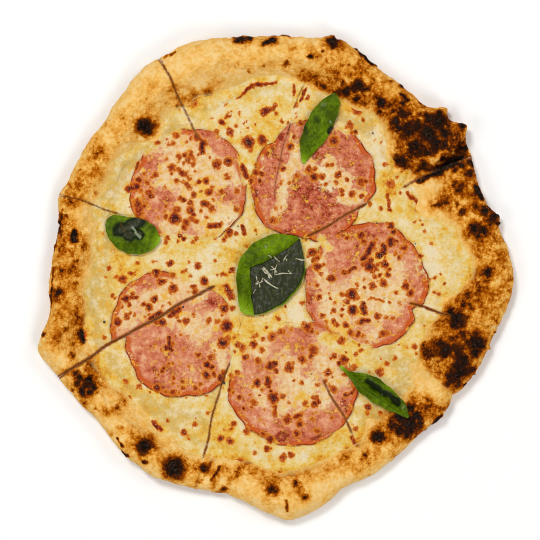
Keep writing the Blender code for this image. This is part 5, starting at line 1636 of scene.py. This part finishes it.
SHAVINGS = (
    (-8.9, 5.1, -4.4, -2.5, 0.65), (-9.5, 4.4, -6.4, 0.6, 0.5), (-3.8, 5.7, 0, 1.3, 0.5),
    (0, 7, -1.3, -0.6, 0.45), (-1.9, 0, 10.2, 0.6, 0.45), (-8.9, -1.9, 1.3, -8.9, 0.6),
    (-13.3, -0.6, -12.7, -6.4, 0.4), (-14, -5.7, -8.9, -3.8, 0.45), (-12, -3.8, -10.8, -8.3, 0.4),
    (11.4, 10.8, 18.6, 9.5, 0.55), (3.8, 8.3, 7, 13.3, 0.35), (-1.9, 12, 1.9, 8.3, 0.4),
    (-5.7, 12.7, -3.2, 10.8, 0.4), (7, 3.2, 9.5, 0.6, 0.35), (-7, 3.2, -3.2, -1.9, 0.5),
    (-4.4, 3.2, -0.6, 4.4, 0.4), (5, 11, 6.5, 8.5, 0.35), (-10.5, -5, -9, -1.5, 0.35),
    (-15, -12, -13.5, -9, 0.3),
)
SHAVING_ROWS = 9
SHAVING_SIDES = 7
SHAVING_THICK = 0.55
SHAVING_SWAY = 0.06     # how far it curls sideways, as a share of its length
PERCH_REACH = 0.5       # how near a place counts as under it
PERCH_LIFT = 0.45
PERCH_STEP = 0.08       # so that neighbours lie at different heights
PERCH_LEVELS = 4


def perch(x, y, piece):
    """Height of a piece's top nearest to a place."""
    near_x, near_y, near_z = vertices_of(piece)
    away = np.hypot(near_x - x, near_y - y)
    return near_z[away < away.min() + PERCH_REACH].max()


def shaving(number, mark, below):
    """A thin flat curl from one end of its mark to the other, lying on the piece below."""
    ax, ay, bx, by, half_width = mark
    share = np.linspace(0, 1, SHAVING_ROWS)[:, None]
    turn = np.linspace(0, 2 * math.pi, SHAVING_SIDES)[None, :]
    long = math.hypot(bx - ax, by - ay)
    taper = np.sqrt(np.clip(1 - (2 * share - 1) ** 6, 0.0, 1)) * (0.8 + 0.3 * np.sin(share * 9 + number))
    sway = SHAVING_SWAY * long * np.sin(math.pi * share) * (-1) ** number
    sway = sway + half_width * taper * np.cos(turn)
    x = ax + (bx - ax) * share - (by - ay) / long * sway
    y = ay + (by - ay) * share + (bx - ax) / long * sway
    lie = [perch(ax + (bx - ax) * part, ay + (by - ay) * part, below) for part in share[:, 0]]
    lift = PERCH_LIFT + PERCH_STEP * (number % PERCH_LEVELS)
    z = np.array(lie)[:, None] + lift + SHAVING_THICK / 2 * taper * np.sin(turn)
    curl = laid_grid(f"shaving_{number}", np.array([x + 0 * z, y + 0 * z, z]))
    close_below(curl, merge=1e-6, sharp=50)
    return curl


def joined(pieces, name):
    """All of a kind of scattered thing as one piece."""
    deselect_all()
    for piece in pieces:
        piece.select_set(True)
    bpy.context.view_layer.objects.active = pieces[0]
    bpy.ops.object.join()
    pieces[0].name = pieces[0].data.name = name
    return pieces[0]


HARD_CHEESE_SHADE = (0.30, 0.27, 0.15)
HARD_CHEESE_PALE = (0.56, 0.53, 0.38)


def hard_cheese_looks():
    looks = Looks("hard_cheese", 0.5, Subsurface_Weight=0.1, Subsurface_Radius=(0.003, 0.002, 0.001))
    crumb = looks.noise(1.1, 3.0, 0.6)
    looks.relief((crumb, 0.25))
    return looks.finish(looks.mix(looks.step(crumb, 0.35, 0.65), HARD_CHEESE_SHADE, HARD_CHEESE_PALE))


centre_leaf = leaf_pieces["centre"]
shavings = joined([shaving(number, mark, centre_leaf) for number, mark in enumerate(SHAVINGS)],
                  "shaved_cheese")
shavings.data.materials.append(hard_cheese_looks())
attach(shavings, "root")

# ---------------------------------------------------------------- the pepper
# A few coarse grains of ground black pepper were strewn over the wheel. Each is a rough
# little ball, cracked from a peppercorn.

PEPPER_PLACES = (
    (-109.9, -29.8, 0.8), (63.5, 33, 0.6), (61, 90.2, 0.6), (-59.7, -20.3, 0.7), (68, -14.6, 0.6),
    (56.5, -10.8, 0.6), (-24.8, 31.1, 0.5), (-39.4, 66.7, 0.5), (-33.7, -68.6, 0.9), (-36.2, -64.1, 0.6),
    (-96, -15, 0.4), (50, 92, 0.5), (22, -63, 0.5), (24, -61, 0.4), (-101, 31, 0.5), (30, -24, 0.4),
    (-13, 26, 0.4), (88, 20, 0.4), (-2, 105, 0.4),
)
PEPPER_LIFT = 0.5       # added to each grain's height, for those that lie on ham
PEPPER_SEAT = 0.9       # of its radius: how high a grain's middle stands on what is below
PEPPER_ROUGH = (0.75, 0.5)      # least size of its corners, and how much that varies
PEPPER_BLACK = (0.02, 0.014, 0.01)
PEPPER_BROWN = (0.07, 0.045, 0.025)


def pepper_grain(x, y, radius):
    """A rough little ball over the melted skin."""
    deselect_all()
    height = melt_top(np.array([x], float), np.array([y], float))[0] + PEPPER_SEAT * radius + PEPPER_LIFT
    spot = ((x + SHIFT[0]) * MM, (y + SHIFT[1]) * MM, height * MM)
    bpy.ops.mesh.primitive_ico_sphere_add(subdivisions=2, radius=radius * MM, location=spot)
    bpy.ops.object.transform_apply(location=True)
    piece = bpy.context.object
    flat = np.empty(len(piece.data.vertices) * 3)
    piece.data.vertices.foreach_get("co", flat)
    places = flat.reshape(-1, 3)
    middle = places.mean(axis=0)
    least, varies = PEPPER_ROUGH
    rough = least + varies * lumps(*(places.T / MM), 0.5, 3)
    piece.data.vertices.foreach_set("co", (middle + (places - middle) * rough[:, None]).ravel())
    return piece


def pepper_looks():
    looks = Looks("ground_pepper", 0.7)
    return looks.finish(looks.mix(looks.step(looks.noise(0.4), 0.4, 0.6), PEPPER_BLACK, PEPPER_BROWN))


pepper = joined([pepper_grain(*place) for place in PEPPER_PLACES], "ground_pepper")
pepper.data.materials.append(pepper_looks())
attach(pepper, "root")

# ---------------------------------------------------------------- the stage
# The wheel lies on a plain white table under a soft daylight, seen from straight above.
# Four round lamps stand about it, the strongest at the upper left.

TABLE_SIZE = 6.0
TABLE_WHITE = (0.93, 0.93, 0.92)
TABLE_ROUGHNESS = 0.7
DAYLIGHT = 0.22
VIEW_STEP = 0.635       # millimetres to a pixel at the view's level
VIEW_LEVEL = 0.010      # metres above the table, amid the toppings and the rim
FRAME_PIXELS = 540
WHEEL_PIXEL = (277, 275)
LENS = 200.0
SENSOR = 36.0

deselect_all()
bpy.ops.mesh.primitive_plane_add(size=TABLE_SIZE, location=(0, 0, 0))
table = bpy.context.object
table.name = "table"
white = Looks("table_white", TABLE_ROUGHNESS)
table.data.materials.append(white.finish(TABLE_WHITE))

world = bpy.data.worlds.new("daylight")
bpy.context.scene.world = world
world.use_nodes = True
background = world.node_tree.nodes["Background"]
background.inputs["Color"].default_value = (1.0, 1.0, 1.0, 1.0)
background.inputs["Strength"].default_value = DAYLIGHT


def soft_lamp(name, place, size, power):
    """A round area lamp that faces the wheel."""
    bpy.ops.object.light_add(type="AREA", location=place)
    lamp = bpy.context.object
    lamp.name = name
    lamp.data.shape = "DISK"
    lamp.data.size = size
    lamp.data.energy = power
    toward = -np.array(place)
    lamp.rotation_euler = (math.atan2(math.hypot(toward[0], toward[1]), -toward[2]), 0,
                           math.atan2(toward[1], toward[0]) - math.pi / 2)


soft_lamp("key", (-0.8, 1.2, 2.45), 0.8, 40.0)
soft_lamp("right", (1.7, 0.9, 2.1), 1.2, 16.0)
soft_lamp("front", (1.0, -1.7, 2.1), 1.2, 22.0)
soft_lamp("left", (-1.8, -0.8, 2.1), 1.2, 15.0)

bpy.ops.object.camera_add()
camera = bpy.context.object
camera.data.lens = LENS
camera.data.sensor_width = SENSOR
middle_x = (FRAME_PIXELS / 2 - WHEEL_PIXEL[0]) * VIEW_STEP + SHIFT[0]
middle_y = (WHEEL_PIXEL[1] - FRAME_PIXELS / 2) * VIEW_STEP + SHIFT[1]
distance = FRAME_PIXELS * VIEW_STEP * MM * LENS / SENSOR
camera.location = (middle_x * MM, middle_y * MM, distance + VIEW_LEVEL)
camera.rotation_euler = (0, 0, 0)
bpy.context.scene.camera = camera
bpy.context.scene.view_settings.view_transform = "Standard"
bpy.context.scene.cycles.filter_width = 1.0
